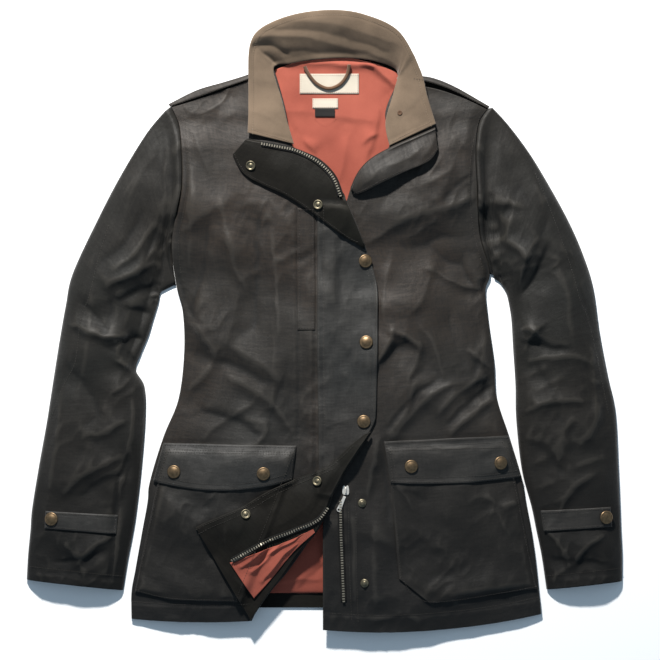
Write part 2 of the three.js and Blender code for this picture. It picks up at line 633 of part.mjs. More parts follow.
// Sleeves
// A flattened tube: level underside, soft top, open at the armhole and at the cuff.
function sleeve(stations, armholePoints, frontTops) {
  const n = ARMHOLE_STEPS;
  const outside = Math.sign(stations[5].outer[0]);
  const ends = { height: 2.4, roll: 1.6 };
  const outer = [];
  const inner = [];
  stations.forEach((station, k) => {
    const pull = ARMHOLE_PULL[k] ?? 0;
    const top = [];
    for (let i = 0; i <= n; i += 1) {
      const even = 0.5 - 0.5 * Math.cos((Math.PI * i) / n);
      const [ax, ay] = armholePoints[i];
      const first = armholePoints[0];
      const last = armholePoints[n];
      const s0 = (ay - first[1]) / (last[1] - first[1]);
      const s = lerp(lerp(even, i / n, 0.35), s0, pull);
      const straight = lerp2(station.outer, station.inner, s);
      const chord = lerp2(first, last, s0);
      const x = straight[0] + pull * (ax - chord[0]);
      const y = straight[1] + pull * (ay - chord[1]);
      const calm = Math.min(1, 5 * Math.min(s, 1 - s));
      const folds = SLEEVE_FOLDS.reduce((sum, fold) => sum + foldLift(fold, x, y), 0) * calm;
      const rise = Math.max(4.6, 4.6 + (station.top - 4.6) * arch(s) + folds);
      top.push([x, y, rise]);
    }
    if (k === 0) {
      for (let i = 0; i <= n; i += 1) {
        top[i][0] = armholePoints[i][0] + outside * (SEAM_GAP + 0.1);
        top[i][1] = armholePoints[i][1];
        top[i][2] = Math.max(4.2, frontTops[i]);
      }
    }
    const ring = [];
    const core = [];
    const shift = (i, by) => {
      const a = top[Math.max(0, i - 1)];
      const b = top[Math.min(n, i + 1)];
      const length = Math.hypot(b[0] - a[0], b[1] - a[1]);
      return [((b[0] - a[0]) / length) * by, ((b[1] - a[1]) / length) * by];
    };
    for (let i = 0; i <= n; i += 1) {
      const [x, y, z] = top[i];
      if (i === 0 || i === n) {
        const [rx, ry] = shift(i, i === 0 ? -ends.roll : ends.roll);
        const [cx, cy] = shift(i, i === 0 ? 1.2 : -1.2);
        ring.push([x + rx, y + ry, ends.height]);
        core.push([x + cx, y + cy, ends.height]);
      } else {
        const [cx, cy] = i === 1 ? shift(i, 0.6) : i === n - 1 ? shift(i, -0.6) : [0, 0];
        ring.push([x, y, z]);
        core.push([x + cx, y + cy, z - CLOTH]);
      }
    }
    for (let i = n - 1; i >= 1; i -= 1) {
      const [x, y] = top[i];
      const [cx, cy] = i === 1 ? shift(i, 0.6) : i === n - 1 ? shift(i, -0.6) : [0, 0];
      ring.push([x, y, 0]);
      core.push([x + cx, y + cy, CLOTH]);
    }
    outer.push(ring);
    inner.push(core);
  });
  const m = 2 * n;
  const positions = [];
  outer.forEach((ring) => ring.forEach((p) => positions.push(...p)));
  inner.forEach((ring) => ring.forEach((p) => positions.push(...p)));
  const rings = stations.length;
  const o = (k, i) => k * m + (i % m);
  const q = (k, i) => rings * m + k * m + (i % m);
  const triangles = [];
  const quad = (a, b, c, d) => {
    if (outside > 0) triangles.push(a, b, c, a, c, d);
    else triangles.push(a, c, b, a, d, c);
  };
  for (let i = 0; i < m; i += 1) {
    for (let k = 0; k < rings - 1; k += 1) {
      quad(o(k, i), o(k, i + 1), o(k + 1, i + 1), o(k + 1, i));
      quad(q(k, i), q(k + 1, i), q(k + 1, i + 1), q(k, i + 1));
    }
    quad(o(0, i + 1), o(0, i), q(0, i), q(0, i + 1));
    quad(o(rings - 1, i), o(rings - 1, i + 1), q(rings - 1, i + 1), q(rings - 1, i));
  }
  return solid(positions, triangles);
}
const sideTops = (grid) => {
  const tops = [];
  for (let i = 0; i <= ARMHOLE_STEPS; i += 1) tops.push(grid[grid.length - 1 - i][0].z + CLOTH);
  return tops;
};
place("sleeve_right", sleeve(RIGHT_SLEEVE, RIGHT_ARMHOLE, sideTops(rightGrid)), WAXED);
place("sleeve_left", sleeve(LEFT_SLEEVE, LEFT_ARMHOLE, sideTops(leftGrid)), WAXED);

// Yoke strips over the shoulders
function yokeStrip(rows) {
  const grid = [];
  const steps = 8;
  for (let r = 0; r <= steps; r += 1) {
    const t = (r / steps) * (rows.length - 1);
    const a = smoothPoint(rows.map((row) => row.seam), t);
    const b = smoothPoint(rows.map((row) => row.fold), t);
    const high = bodyHeight(a[0], a[1]);
    const low = CLOTH + SEAM_GAP;
    const row = [0, 0.4, 0.75, 1].map((s) => {
      const [x, y] = lerp2(a, b, s);
      return new THREE.Vector3(x, y, lerp(high, low, Math.pow(s, 2.2)));
    });
    grid.push(row);
  }
  return wall(grid, TRIM);
}
place("yoke_right", yokeStrip(RIGHT_YOKE), WAXED);
place("yoke_left", yokeStrip(LEFT_YOKE), WAXED);

// Collar
function collar(rows) {
  const grid = [];
  const along = 22;
  const across = 5;
  for (let r = 0; r <= along; r += 1) {
    const t = (r / along) * (rows.length - 1);
    const a = smoothPoint(rows.map((row) => row.seam), t);
    const b = smoothPoint(rows.map((row) => row.rim), t);
    const rim = smooth(rows.map((row) => row.rimHeight), t);
    const seam = laid.top(a[0], a[1], 5) + 0.6;
    const row = [];
    for (let c = 0; c <= across; c += 1) {
      const s = c / across;
      const [x, y] = lerp2(a, b, s);
      const z = lerp(seam, rim, 0.25 * s + 0.75 * Math.sin(s * Math.PI * 0.5));
      row.push(new THREE.Vector3(x, y, Math.max(z, laid.top(x, y, 5) + LAID_GAP)));
    }
    grid.push(row);
  }
  return wall(grid, CLOTH + 0.4);
}
place("collar", collar(COLLAR_ROWS), COLLAR_CLOTH);

// Pieces that lie on the fronts
function alongLow(low, s) {
  const next = Math.max(1, low.findIndex((point) => point.s >= s - 1e-9));
  const [a, b] = [low[next - 1], low[next]];
  return lerp2(a.at, b.at, (s - a.s) / (b.s - a.s));
}

function laidPanel({ top, low, sag }, columns, rows, thickness, gap = LAID_GAP) {
  const grid = [];
  for (let r = 0; r <= rows; r += 1) {
    const row = [];
    for (let k = 0; k <= columns; k += 1) {
      const s = k / columns;
      const [x, y] = lerp2(alongLow(low, s), lerp2(top[0], top[1], s), r / rows);
      row.push(new THREE.Vector3(x, y - sag * 4 * s * (1 - s) * (1 - r / rows), 0));
    }
    grid.push(row);
  }
  return wall(settle(grid, gap), thickness);
}
place("pocket_right", laidPanel(PANELS.pocket_right, 10, 9, 2), WAXED);
place("pocket_left", laidPanel(PANELS.pocket_left, 10, 9, 2), WAXED);
place("pocket_flap_right", laidPanel(PANELS.pocket_flap_right, 11, 5, TRIM), WAXED);
place("pocket_flap_left", laidPanel(PANELS.pocket_flap_left, 11, 5, TRIM), WAXED);
place("chest_welt", laidPanel(PANELS.chest_welt, 3, 9, 1.2), WAXED);

// Storm flap and turned-back pieces
function stormFlap(rows) {
  const grid = [];
  const steps = (rows.length - 1) * 2;
  const across = 6;
  for (let r = 0; r <= steps; r += 1) {
    const t = r / 2;
    const a = smoothPoint(rows.map((row) => row.seam), t);
    const b = smoothPoint(rows.map((row) => row.free), t);
    const row = [];
    for (let c = 0; c <= across; c += 1) {
      const [x, y] = lerp2(a, b, c / across);
      row.push(new THREE.Vector3(x, y, 0));
    }
    grid.push(row);
  }
  settle(grid, LAID_GAP, 0, 5);
  grid.forEach((row, r) => row.forEach((p, c) => {
    p.z += smooth(rows.map((line) => line.rise), r / 2) * 0.5 * (c / across);
  }));
  return wall(grid, TURNED);
}
place("storm_flap", stormFlap(FLAP_ROWS), WAXED);

// A turned-back piece: a half-round roll at the fold, then the sheet out to its free edge.
const ROLL_TURNS = [0.36, 0.52, 0.68, 0.84];
function turnedBack(rows, steps, across, radius, gap) {
  const grid = [];
  const first = ROLL_TURNS.length;
  for (let r = 0; r <= steps; r += 1) {
    const t = (r / steps) * (rows.length - 1);
    const a = smoothPoint(rows.map((row) => row.fold), t);
    const b = smoothPoint(rows.map((row) => row.free), t);
    const length = Math.hypot(b[0] - a[0], b[1] - a[1]);
    const roll = Math.min(radius, length * 0.3);
    const out = ROLL_TURNS.map((turn) => roll * (1 - Math.sin(Math.PI * turn)));
    for (let c = 0; c <= across; c += 1) out.push(lerp(roll, length, c / across));
    grid.push(out.map((d) => {
      const [x, y] = lerp2(a, b, d / length);
      return new THREE.Vector3(x, y, 0);
    }));
  }
  settle(grid, gap, first, 5);
  grid.forEach((row, r) => {
    const t = (r / steps) * (rows.length - 1);
    const rise = smooth(rows.map((line) => line.rise), t);
    const span = row[first].distanceTo(row[row.length - 1]);
    const roll = Math.min(radius, span * 0.42);
    const start = row[first].z;
    for (let c = first; c < row.length; c += 1) {
      const s = (c - first) / across;
      row[c].z += roll * 1.8 * (1 - Math.pow(s, 0.8)) + rise * 0.6 * Math.sin(Math.PI * s);
    }
    for (let c = 0; c < first; c += 1) {
      const height = start + roll * 0.9 * (1 - Math.cos(Math.PI * ROLL_TURNS[c]));
      row[c].z = Math.max(height, laid.top(row[c].x, row[c].y, 4) + gap + c * 0.4);
    }
  });
  return wall(grid, TURNED, true);
}
place("lapel_right", turnedBack(RIGHT_LAPEL_ROWS, 14, 4, FOLD_RADIUS, LAID_GAP), FACING);
place("lapel_left", turnedBack(LEFT_LAPEL_ROWS, 9, 4, FOLD_RADIUS, LAID_GAP), FACING);
place("turned_corner", turnedBack(CORNER_ROWS, 14, 7, FOLD_RADIUS + 0.8, LAID_GAP), FACING);
place("lining_front", liningSheet(CORNER_LINING, LABEL), LINING_CLOTH);

// Labels and hanger loop
place("label_main", laidPanel(PANELS.label_main, 4, 2, LABEL, 0.4), LABEL_CLOTH);
place("label_small", laidPanel(PANELS.label_small, 3, 1, LABEL, 0.4), LABEL_CLOTH);
place("label_tab", laidPanel(PANELS.label_tab, 2, 1, LABEL, 0.4), LABEL_BLACK);

function cord(path, radius, around = 8) {
  const curve = new THREE.CatmullRomCurve3(path);
  const steps = 14;
  const frames = curve.computeFrenetFrames(steps, false);
  const positions = [];
  const triangles = [];
  for (let k = 0; k <= steps; k += 1) {
    const p = curve.getPointAt(k / steps);
    for (let i = 0; i < around; i += 1) {
      const angle = (2 * Math.PI * i) / around;
      const n = frames.normals[k].clone().multiplyScalar(Math.cos(angle) * radius);
      const b = frames.binormals[k].clone().multiplyScalar(Math.sin(angle) * radius);
      positions.push(p.x + n.x + b.x, p.y + n.y + b.y, p.z + n.z + b.z);
    }
  }
  const first = curve.getPointAt(0);
  const last = curve.getPointAt(1);
  positions.push(first.x, first.y, first.z, last.x, last.y, last.z);
  const centre = (steps + 1) * around;
  const at = (k, i) => k * around + (i % around);
  for (let i = 0; i < around; i += 1) {
    for (let k = 0; k < steps; k += 1) {
      triangles.push(at(k, i), at(k, i + 1), at(k + 1, i + 1));
      triangles.push(at(k, i), at(k + 1, i + 1), at(k + 1, i));
    }
    triangles.push(centre, at(0, i + 1), at(0, i));
    triangles.push(centre + 1, at(steps, i), at(steps, i + 1));
  }
  return solid(positions, triangles);
}
place("hanger_loop", cord(LOOP_PATH.map(([x, y]) =>
  new THREE.Vector3(x, y, laid.top(x, y, 3) + LOOP_RADIUS + 0.5)), LOOP_RADIUS), LOOP_CLOTH);

// Cuff tabs
place("cuff_tab_right", laidPanel(PANELS.cuff_tab_right, 7, 2, TRIM), WAXED);
place("cuff_tab_left", laidPanel(PANELS.cuff_tab_left, 7, 2, TRIM), WAXED);

// Zip
function laidStrip(path, steps, width, thickness) {
  const grid = [];
  for (let r = 0; r <= steps; r += 1) {
    const t = (r / steps) * (path.length - 1);
    const p = smoothPoint(path, t);
    const before = smoothPoint(path, Math.max(0, t - 0.1));
    const after = smoothPoint(path, Math.min(path.length - 1, t + 0.1));
    const length = Math.hypot(after[0] - before[0], after[1] - before[1]);
    const nx = -(after[1] - before[1]) / length;
    const ny = (after[0] - before[0]) / length;
    grid.push([-0.5, 0, 0.5].map((s) =>
      new THREE.Vector3(p[0] + nx * width * s, p[1] + ny * width * s, 0)));
  }
  return wall(settle(grid, 0.4), thickness);
}
place("zip_run_lapel", laidStrip(ZIP_LAPEL, 12, ZIP.width, ZIP.thickness), TAPE_CLOTH);
place("zip_run_corner", laidStrip(ZIP_CORNER, 14, ZIP.width, ZIP.thickness), TAPE_CLOTH);
place("zip_run_front", laidStrip(ZIP_FRONT, 8, ZIP.width, ZIP.thickness), TAPE_CLOTH);

// Snaps
// stands a turned piece on the cloth, leaning with it
function onCloth(geometry, [x, y], radius) {
  const h = (dx, dy) => laid.top(x + dx, y + dy, 1.2);
  const slopeX = (h(radius, 0) - h(-radius, 0)) / (2 * radius);
  const slopeY = (h(0, radius) - h(0, -radius)) / (2 * radius);
  const normal = new THREE.Vector3(-slopeX, -slopeY, 1).normalize();
  let lift = 0;
  for (let i = 0; i < 12; i += 1) {
    for (const part of [0, 0.5, 1]) {
      const dx = Math.cos((i * Math.PI) / 6) * radius * part;
      const dy = Math.sin((i * Math.PI) / 6) * radius * part;
      lift = Math.max(lift, laid.top(x + dx, y + dy, 1.2) - slopeX * dx - slopeY * dy);
    }
  }
  const turn = new THREE.Quaternion().setFromUnitVectors(new THREE.Vector3(0, 0, 1), normal);
  geometry.applyQuaternion(turn);
  geometry.translate(x, y, lift + 0.3);
  return geometry;
}
function turned(profile, segments) {
  const points = profile.map(([r, z]) => new THREE.Vector2(r, z));
  const lathe = new THREE.LatheGeometry(points, segments);
  lathe.rotateX(Math.PI / 2);
  const p = lathe.getAttribute("position");
  const index = lathe.getIndex();
  const found = new Map();
  const positions = [];
  const order = [];
  for (let i = 0; i < p.count; i += 1) {
    const key = [p.getX(i), p.getY(i), p.getZ(i)].map((v) => (Math.round(v * 1e4) + 0)).join(" ");
    if (!found.has(key)) {
      found.set(key, positions.length / 3);
      positions.push(p.getX(i), p.getY(i), p.getZ(i));
    }
    order.push(found.get(key));
  }
  const triangles = [];
  for (let i = 0; i < index.count; i += 3) {
    const [a, b, c] = [0, 1, 2].map((k) => order[index.getX(i + k)]);
    if (a !== b && b !== c && c !== a) triangles.push(a, b, c);
  }
  return solid(positions, triangles);
}
const half = CAP.diameter / 2;
const capProfile = [[0, 0], [half - 1, 0], [half, 0.8], [half - 0.5, 1.9],
  [half - 2.6, 2.9], [0, CAP.height]];
const ringProfile = [[SOCKET.bore / 2, 0], [SOCKET.diameter / 2, 0],
  [SOCKET.diameter / 2 - 0.3, 1.2], [SOCKET.bore / 2 + 1.2, SOCKET.height],
  [SOCKET.bore / 2, 1.1], [SOCKET.bore / 2, 0]];
const studProfile = [[0, 0], [STUD.diameter / 2, 0], [STUD.diameter / 2 - 0.6, 1],
  [STUD.post / 2, 1.3], [STUD.post / 2 + 0.3, 2.6], [STUD.post / 2 - 0.6, STUD.height], [0, STUD.height]];
for (const [name, spot] of Object.entries(SNAP_CAPS)) {
  place(name, onCloth(turned(capProfile, 12), spot, half), SNAP_BRASS, false);
}
for (const [name, spot] of Object.entries(SOCKETS)) {
  place(name, onCloth(turned(ringProfile, 12), spot, SOCKET.diameter / 2), SNAP_RING, false);
}
for (const [name, spot] of Object.entries(STUDS)) {
  place(name, onCloth(turned(studProfile, 12), spot, STUD.diameter / 2), SNAP_RING, false);
}

// Slider and pull
function sliderBody() {
  const { length, width, height } = SLIDER;
  const outline = new THREE.Shape();
  outline.moveTo(-width / 2, -length / 2 + 2);
  outline.lineTo(-width / 2 + 2, -length / 2);
  outline.lineTo(width / 2 - 2, -length / 2);
  outline.lineTo(width / 2, -length / 2 + 2);
  outline.lineTo(width / 2 - 1, length / 2 - 1);
  outline.lineTo(width / 2 - 2.4, length / 2);
  outline.lineTo(-width / 2 + 2.4, length / 2);
  outline.lineTo(-width / 2 + 1, length / 2 - 1);
  outline.closePath();
  const body = flatSheet(outline.getPoints().map((p) => [p.x, p.y]), height);
  return body;
}
const [sliderX, sliderY] = SLIDER.at;
const sliderZ = laid.top(sliderX - 1, sliderY, 5) + 0.4;
const slider = sliderBody();
slider.translate(sliderX, sliderY, sliderZ);
place("zip_slider", slider, SLIDER_METAL, false);

function pullTab() {
  const [x0, y0] = PULL.from;
  const [x1, y1] = PULL.to;
  const length = Math.hypot(x1 - x0, y1 - y0);
  const w = PULL.width / 2;
  const outline = [];
  outline.push([0, -w * 0.62], [length * 0.2, -w * 0.62], [length * 0.5, -w * 0.8]);
  for (let i = 0; i <= 8; i += 1) {
    const angle = -Math.PI / 2 + (Math.PI * i) / 8;
    outline.push([length - w + Math.cos(angle) * w, Math.sin(angle) * w]);
  }
  outline.push([length * 0.5, w * 0.8], [length * 0.2, w * 0.62], [0, w * 0.62]);
  const shape = new THREE.Shape(outline.map(([x, y]) => new THREE.Vector2(x, y)));
  const hole = new THREE.Path();
  hole.absellipse(length - w, 0, PULL.hole, PULL.hole, 0, Math.PI * 2, true);
  shape.holes.push(hole);
  const sheet = new THREE.ExtrudeGeometry(shape, {
    depth: PULL.thickness, bevelEnabled: false, curveSegments: 5 });
  return sheet;
}
function welded(geometry) {
  const p = geometry.getAttribute("position");
  const found = new Map();
  const positions = [];
  const index = [];
  for (let i = 0; i < p.count; i += 1) {
    const key = [p.getX(i), p.getY(i), p.getZ(i)].map((v) => v.toFixed(4)).join(" ");
    if (!found.has(key)) {
      found.set(key, positions.length / 3);
      positions.push(p.getX(i), p.getY(i), p.getZ(i));
    }
    index.push(found.get(key));
  }
  return solid(positions, index);
}
const pull = welded(pullTab());
const pullAngle = Math.atan2(PULL.to[1] - PULL.from[1], PULL.to[0] - PULL.from[0]);
pull.rotateZ(pullAngle);
const pullTop = Math.max(...[0, 0.25, 0.5, 0.75, 1].map((t) => {
  const [x, y] = lerp2(PULL.from, PULL.to, t);
  return laid.top(x, y, 4.5);
}));
pull.translate(PULL.from[0], PULL.from[1], pullTop + 0.5);
place("zip_pull", pull, SLIDER_METAL, false);

export default jacket;
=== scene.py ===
import math

import bmesh
import bpy
import numpy as np
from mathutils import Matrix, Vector


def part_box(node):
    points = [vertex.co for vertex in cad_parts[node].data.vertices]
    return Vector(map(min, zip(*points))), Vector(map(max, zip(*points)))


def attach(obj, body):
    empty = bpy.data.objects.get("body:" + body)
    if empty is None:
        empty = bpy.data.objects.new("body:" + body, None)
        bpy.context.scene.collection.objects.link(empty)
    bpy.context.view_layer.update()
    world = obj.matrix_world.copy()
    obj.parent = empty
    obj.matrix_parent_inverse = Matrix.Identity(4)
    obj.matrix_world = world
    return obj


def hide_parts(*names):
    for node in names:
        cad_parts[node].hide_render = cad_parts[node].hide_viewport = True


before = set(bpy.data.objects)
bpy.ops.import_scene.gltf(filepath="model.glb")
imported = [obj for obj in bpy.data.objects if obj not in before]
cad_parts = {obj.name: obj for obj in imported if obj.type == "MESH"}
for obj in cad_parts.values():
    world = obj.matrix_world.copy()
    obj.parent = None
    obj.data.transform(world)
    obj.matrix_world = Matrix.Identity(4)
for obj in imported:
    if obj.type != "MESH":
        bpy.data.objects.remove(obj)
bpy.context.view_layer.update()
MM = 0.001
JACKET = "jacket"
PULL_TAB = "pull_tab"

# sizes, millimetres
CLOTH = 1.8                     # fronts and back
LINING = 1.0
TURNED = 1.6                    # storm flap and what is turned back
TRIM = 1.4                      # pocket flaps, cuff tabs and yoke strips
COLLAR_THICK = 2.2
POCKET_THICK = 2.0
LABEL_THICK = 0.8
WELT_THICK = 0.5
GAP = 0.55                      # between a piece and what it lies on
SEAM_GAP = 0.3
RIM_EASE = 0.45                 # share of a shell's thickness that its rim is rounded by
FOLD_RADIUS = 4.2
HEM_DEPTH = 22
STEP = 2.4                      # spacing of the points across a panel
SLEEVE_LOW = 4.2                # least height of a sleeve's top
SLEEVE_RIM = 2.4                # height of a flattened sleeve's side edge
SLEEVE_WALL = 1.3
TAPE_WIDTH = 7.2
TAPE_THICK = 0.9
CAP_DIAMETER = 16.6
SOCKET_DIAMETER = 12.2
STUD_DIAMETER = 10.8
LOOP_RADIUS = 2.1
SLIDER_THICK = 2.9
BAIL_RADIUS = 0.9
PULL_WIDTH, PULL_THICK, PULL_HOLE_RADIUS = 5.6, 1.5, 1.5

# the cut, as it lies
# side point, zip edge point, bow of the row
RIGHT_FRONT = [
    ((-242, -372), (-91, -374), -3), ((-242, -339), (-77, -348), 0),
    ((-237, -310), (-46, -312), 0), ((-229, -265), (-12, -262), 0),
    ((-222, -226), (8, -225), 0), ((-219, -200), (11, -198), 0),
    ((-202, -144), (11, -144), 0), ((-183, -96), (11, -96), 0),
    ((-176, -36), (11, -36), 0), ((-178, 14), (11, 14), 0),
    ((-186, 48), (11, 59), 0), ((-191, 102), (12, 102), 0),
    ((-179, 165), (22, 146), 0), ((-179, 215), (-5, 196), 0),
    ((-182, 245), (-38, 216), 0), ((-187, 259), (-50, 272), -2),
    ((-192, 269), (-63, 317), -3),
]
LEFT_FRONT = [
    ((272, -366), (-2, -385.3), -10.6), ((269, -336), (-2, -348), -5),
    ((262, -276), (-2, -298), 0), ((253, -226), (-2, -222), 0),
    ((247, -194), (-1, -185), 0), ((232, -144), (0, -144), 0),
    ((216, -94), (1, -94), 0), ((213, -50), (1, -50), 0),
    ((206, 0), (1, 0), 0), ((202, 40), (2, 40), 0),
    ((207, 62), (3, 62), 0), ((194, 111), (13, 102), 0),
    ((191, 169), (26, 146), 0), ((189, 209), (43, 189), 0),
    ((192, 244), (80, 218), 0), ((198, 258), (76, 262), 3),
    ((204, 266), (91, 299), 7),
]
# distance up the body, height of the edge, rise of the middle
BODY_RISE = [
    (-390, 2.1, 9), (-330, 2.1, 14), (-230, 2.1, 19), (-120, 2.1, 21), (-20, 2.1, 21),
    (48, 2.1, 20), (100, 11, 10), (160, 17.5, 4), (215, 14.5, 4.5), (255, 6, 8), (290, 2.1, 7),
    (330, 2.1, 4),
]
# from, to, width, lift: the broad folds that the solids have too
BODY_FOLDS = [
    ((68, -46), (92, -6), 26, 2.6), ((92, -6), (150, -52), 34, 2.2),
    ((182, 150), (96, 96), 30, 2.4), ((176, 112), (120, 20), 34, -2.2),
    ((-172, 138), (-96, 84), 30, 2.4), ((-176, 96), (-118, -6), 34, -2.4),
    ((-150, 30), (-140, -120), 36, 2.4), ((168, -20), (178, -130), 36, 2.2),
    ((-60, -60), (-150, -136), 34, -1.8), ((70, -210), (58, -360), 36, 2.4),
    ((-180, -230), (-196, -350), 34, -1.6),
]
# outer edge, inner edge, height of the top
RIGHT_SLEEVE = [
    ((-199, 264), (-190, 47), 0), ((-223, 235), (-200, 42), 15),
    ((-254, 184), (-206, 38), 19), ((-281, 132), (-209, 26), 21),
    ((-314, 61), (-216, 4), 22), ((-323, 20), (-222, -16), 21),
    ((-331, -26), (-231, -38), 23), ((-338, -70), (-238, -60), 20),
    ((-342, -96), (-227, -82), 21), ((-347, -128), (-226, -122), 22),
    ((-357, -184), (-231, -185), 20), ((-365, -234), (-237, -236), 18),
    ((-367, -260), (-241, -262), 17), ((-370, -292), (-248, -298), 16),
    ((-371.7, -323), (-254, -336), 15),
]
LEFT_SLEEVE = [
    ((210, 268), (212, 60), 0), ((230, 246), (213, 56), 15),
    ((254, 214), (219, 52), 19), ((275, 180), (224, 46), 21),
    ((303, 129), (229, 37), 22), ((322, 86), (233, 21), 21),
    ((335, 44), (236, 1), 22), ((343, -12), (238, -32), 23),
    ((353, -65), (241, -78), 21), ((363, -112), (242, -122), 22),
    ((367, -185), (249, -185), 20), ((369, -231), (261, -231), 18),
    ((370, -259), (267, -260), 17), ((371.6, -292), (274, -294), 16),
    ((371.4, -325), (280, -335), 15),
]
ARMHOLE_PULL = [1, 0.72, 0.45, 0.22, 0.08] + [0] * 10
# seam point, rim point, height of the rim
COLLAR = [
    ((-38, 222), (-96, 236), 23), ((-46, 250), (-95, 259), 22), ((-54, 282), (-95, 284), 20),
    ((-63, 318), (-94, 338), 24), ((-43, 323), (-82, 364), 28), ((-12, 328), (-42, 382), 31),
    ((26, 330), (7, 388.6), 32), ((62, 326), (50, 383), 31), ((90, 314), (93, 362), 28),
    ((86, 288), (119, 316), 22), ((76, 250), (129, 280), 21), ((81, 220), (139, 247), 22),
]
RIGHT_YOKE = [
    ((-193.5, 270), (-196, 273.5)), ((-158, 282), (-161, 291)), ((-131, 291.5), (-128, 301)),
    ((-95, 304), (-96, 311)), ((-66, 317.5), (-68, 322.5)),
]
LEFT_YOKE = [
    ((205, 267.5), (207.5, 270.5)), ((163, 289), (166, 294.5)), ((134, 299.5), (137, 306.5)),
    ((112, 303.5), (114, 309.5)), ((96, 302.5), (98, 308.5)),
]
# fold point, free edge point, rise between them
RIGHT_LAPEL = [
    ((-97, 229), (-115, 209), 2), ((-78, 225), (-102, 186), 3), ((-56, 220.5), (-80, 172), 4),
    ((-34, 215), (-50, 158), 5), ((-7, 204), (-19, 138), 5), ((14, 184), (12, 115), 4),
    ((25, 157), (29, 103), 3), ((41, 120), (40, 97), 2), ((50, 97), (50, 90.5), 1),
]
LEFT_LAPEL = [
    ((138, 243), (142, 215), 2), ((111, 231), (130, 200), 4), ((84, 219), (101, 187), 5),
    ((59, 205), (74, 174), 5), ((43, 189), (52, 163), 4), ((32, 167), (39, 158), 2),
]
STORM_FLAP = [
    ((-9, 146), (25, 143), 2), ((-9, 121), (40, 118), 3), ((-9, 89), (53, 89), 3),
    ((-9, 48), (65, 48), 3), ((-9, 6), (66, 6), 3), ((-9, -36), (66, -36), 3),
    ((-8.5, -80), (65, -80), 3), ((-8, -112), (64, -112), 3), ((-7.5, -128), (61, -128), 3),
    ((-7.5, -155), (45, -155), 2), ((-7, -184), (27, -184), 2), ((-6.5, -212), (11, -214), 1),
]
CORNER = [
    ((58, -137), (51, -139), 1), ((46, -156), (32, -154), 2), ((26, -187), (4, -179), 3),
    ((8, -221), (-39, -197), 5), ((-7, -258), (-74, -213), 6), ((-33, -290), (-101, -229), 7),
    ((-54, -320), (-128, -241), 6), ((-74, -346), (-147, -249), 4), ((-92, -373), (-161, -256), 3),
]
NECK_LINING = {
    "left": [(-12, 116), (-22, 150), (-48, 186), (-62, 230), (-66, 270), (-62, 316)],
    "right": [(44, 116), (54, 150), (84, 186), (96, 230), (98, 266), (92, 312)], "crown": 18,
}
HEM_LINING = {
    "left": [(-86, -340), (-70, -300), (-44, -250), (-30, -196)],
    "right": [(24, -340), (26, -300), (28, -250), (30, -196)], "crown": 0,
}
CORNER_LINING = {
    "left": [(-118, -300), (-80, -286), (-44, -272), (-14, -258)],
    "right": [(-88, -345), (-64, -318), (-38, -286), (-12, -262)], "crown": 0,
}
# ends of the edge nearer the collar; the edge nearer the hem with each point's share of the
# width; how far that edge hangs between its ends
PANELS = {
    "pocket_right": (((-201, -160), (-37, -162)),
                     ((0, -238, -338), (0.3, -192, -348), (1, -108, -350)), 0),
    "pocket_left": (((79.2, -158), (231, -154)),
                    ((0, 93, -321), (0.2, 132, -352), (1, 266, -334)), 0),
    "pocket_flap_right": (((-202, -151), (-35, -154)), ((0, -215, -199), (1, -40, -198)), 12),
    "pocket_flap_left": (((74, -149), (230.5, -142)), ((0, 82, -200.5), (1, 247, -194)), 4),
    "chest_welt": (((-34, 142), (-12, 142)), ((0, -34, -10), (1, -12, -10)), 0),
    "label_main": (((-31, 311), (43, 311)), ((0, -31, 286), (1, 43, 286)), 0),
    "label_small": (((-15, 280), (17, 280)), ((0, -15, 267.6), (1, 17, 267.6)), 0),
    "label_tab": (((-12, 267), (13, 267)), ((0, -12, 257), (1, 13, 257)), 0),
    "cuff_tab_right": (((-349, -236), (-258, -241)), ((0, -350, -258), (1, -260, -265)), 0),
    "cuff_tab_left": (((270, -236), (358, -231)), ((0, 274, -262), (1, 360, -256)), 0),
}
LOOP_PATH = [(-25, 320), (-19, 309), (-9, 298), (5, 292.5), (19, 297.5), (28, 309), (31, 322)]
SNAP_CAPS = {
    "cap_flap_1": (51, 76), "cap_flap_2": (52, -25), "cap_flap_3": (49, -124),
    "cap_pocket_1": (-188, -187), "cap_pocket_2": (-76, -189), "cap_pocket_3": (108, -180),
    "cap_pocket_4": (220, -176), "cap_cuff_1": (-341, -246), "cap_cuff_2": (352, -244),
}
SOCKETS = {"socket_1": (-92, 195), "socket_2": (-8, 146), "socket_3": (-9, -198),
           "socket_4": (-98, -239)}
STUDS = {"stud_1": (47, -226), "stud_2": (50, -326)}
ZIP_LAPEL = [(-78, 222), (-56, 218), (-34, 213), (-9, 200), (10, 181), (20, 157)]
ZIP_CORNER = [(4, -232), (-6, -245), (-20, -253), (-35, -259), (-53, -266), (-71, -273),
              (-92, -284), (-115, -297)]
ZIP_FRONT = [(20, -224), (20.5, -262), (22, -300), (24, -349)]
SLIDER_AT = (26.5, -209.5)
PULL_FROM, PULL_TO = (25.2, -217.4), (16.8, -236.4)

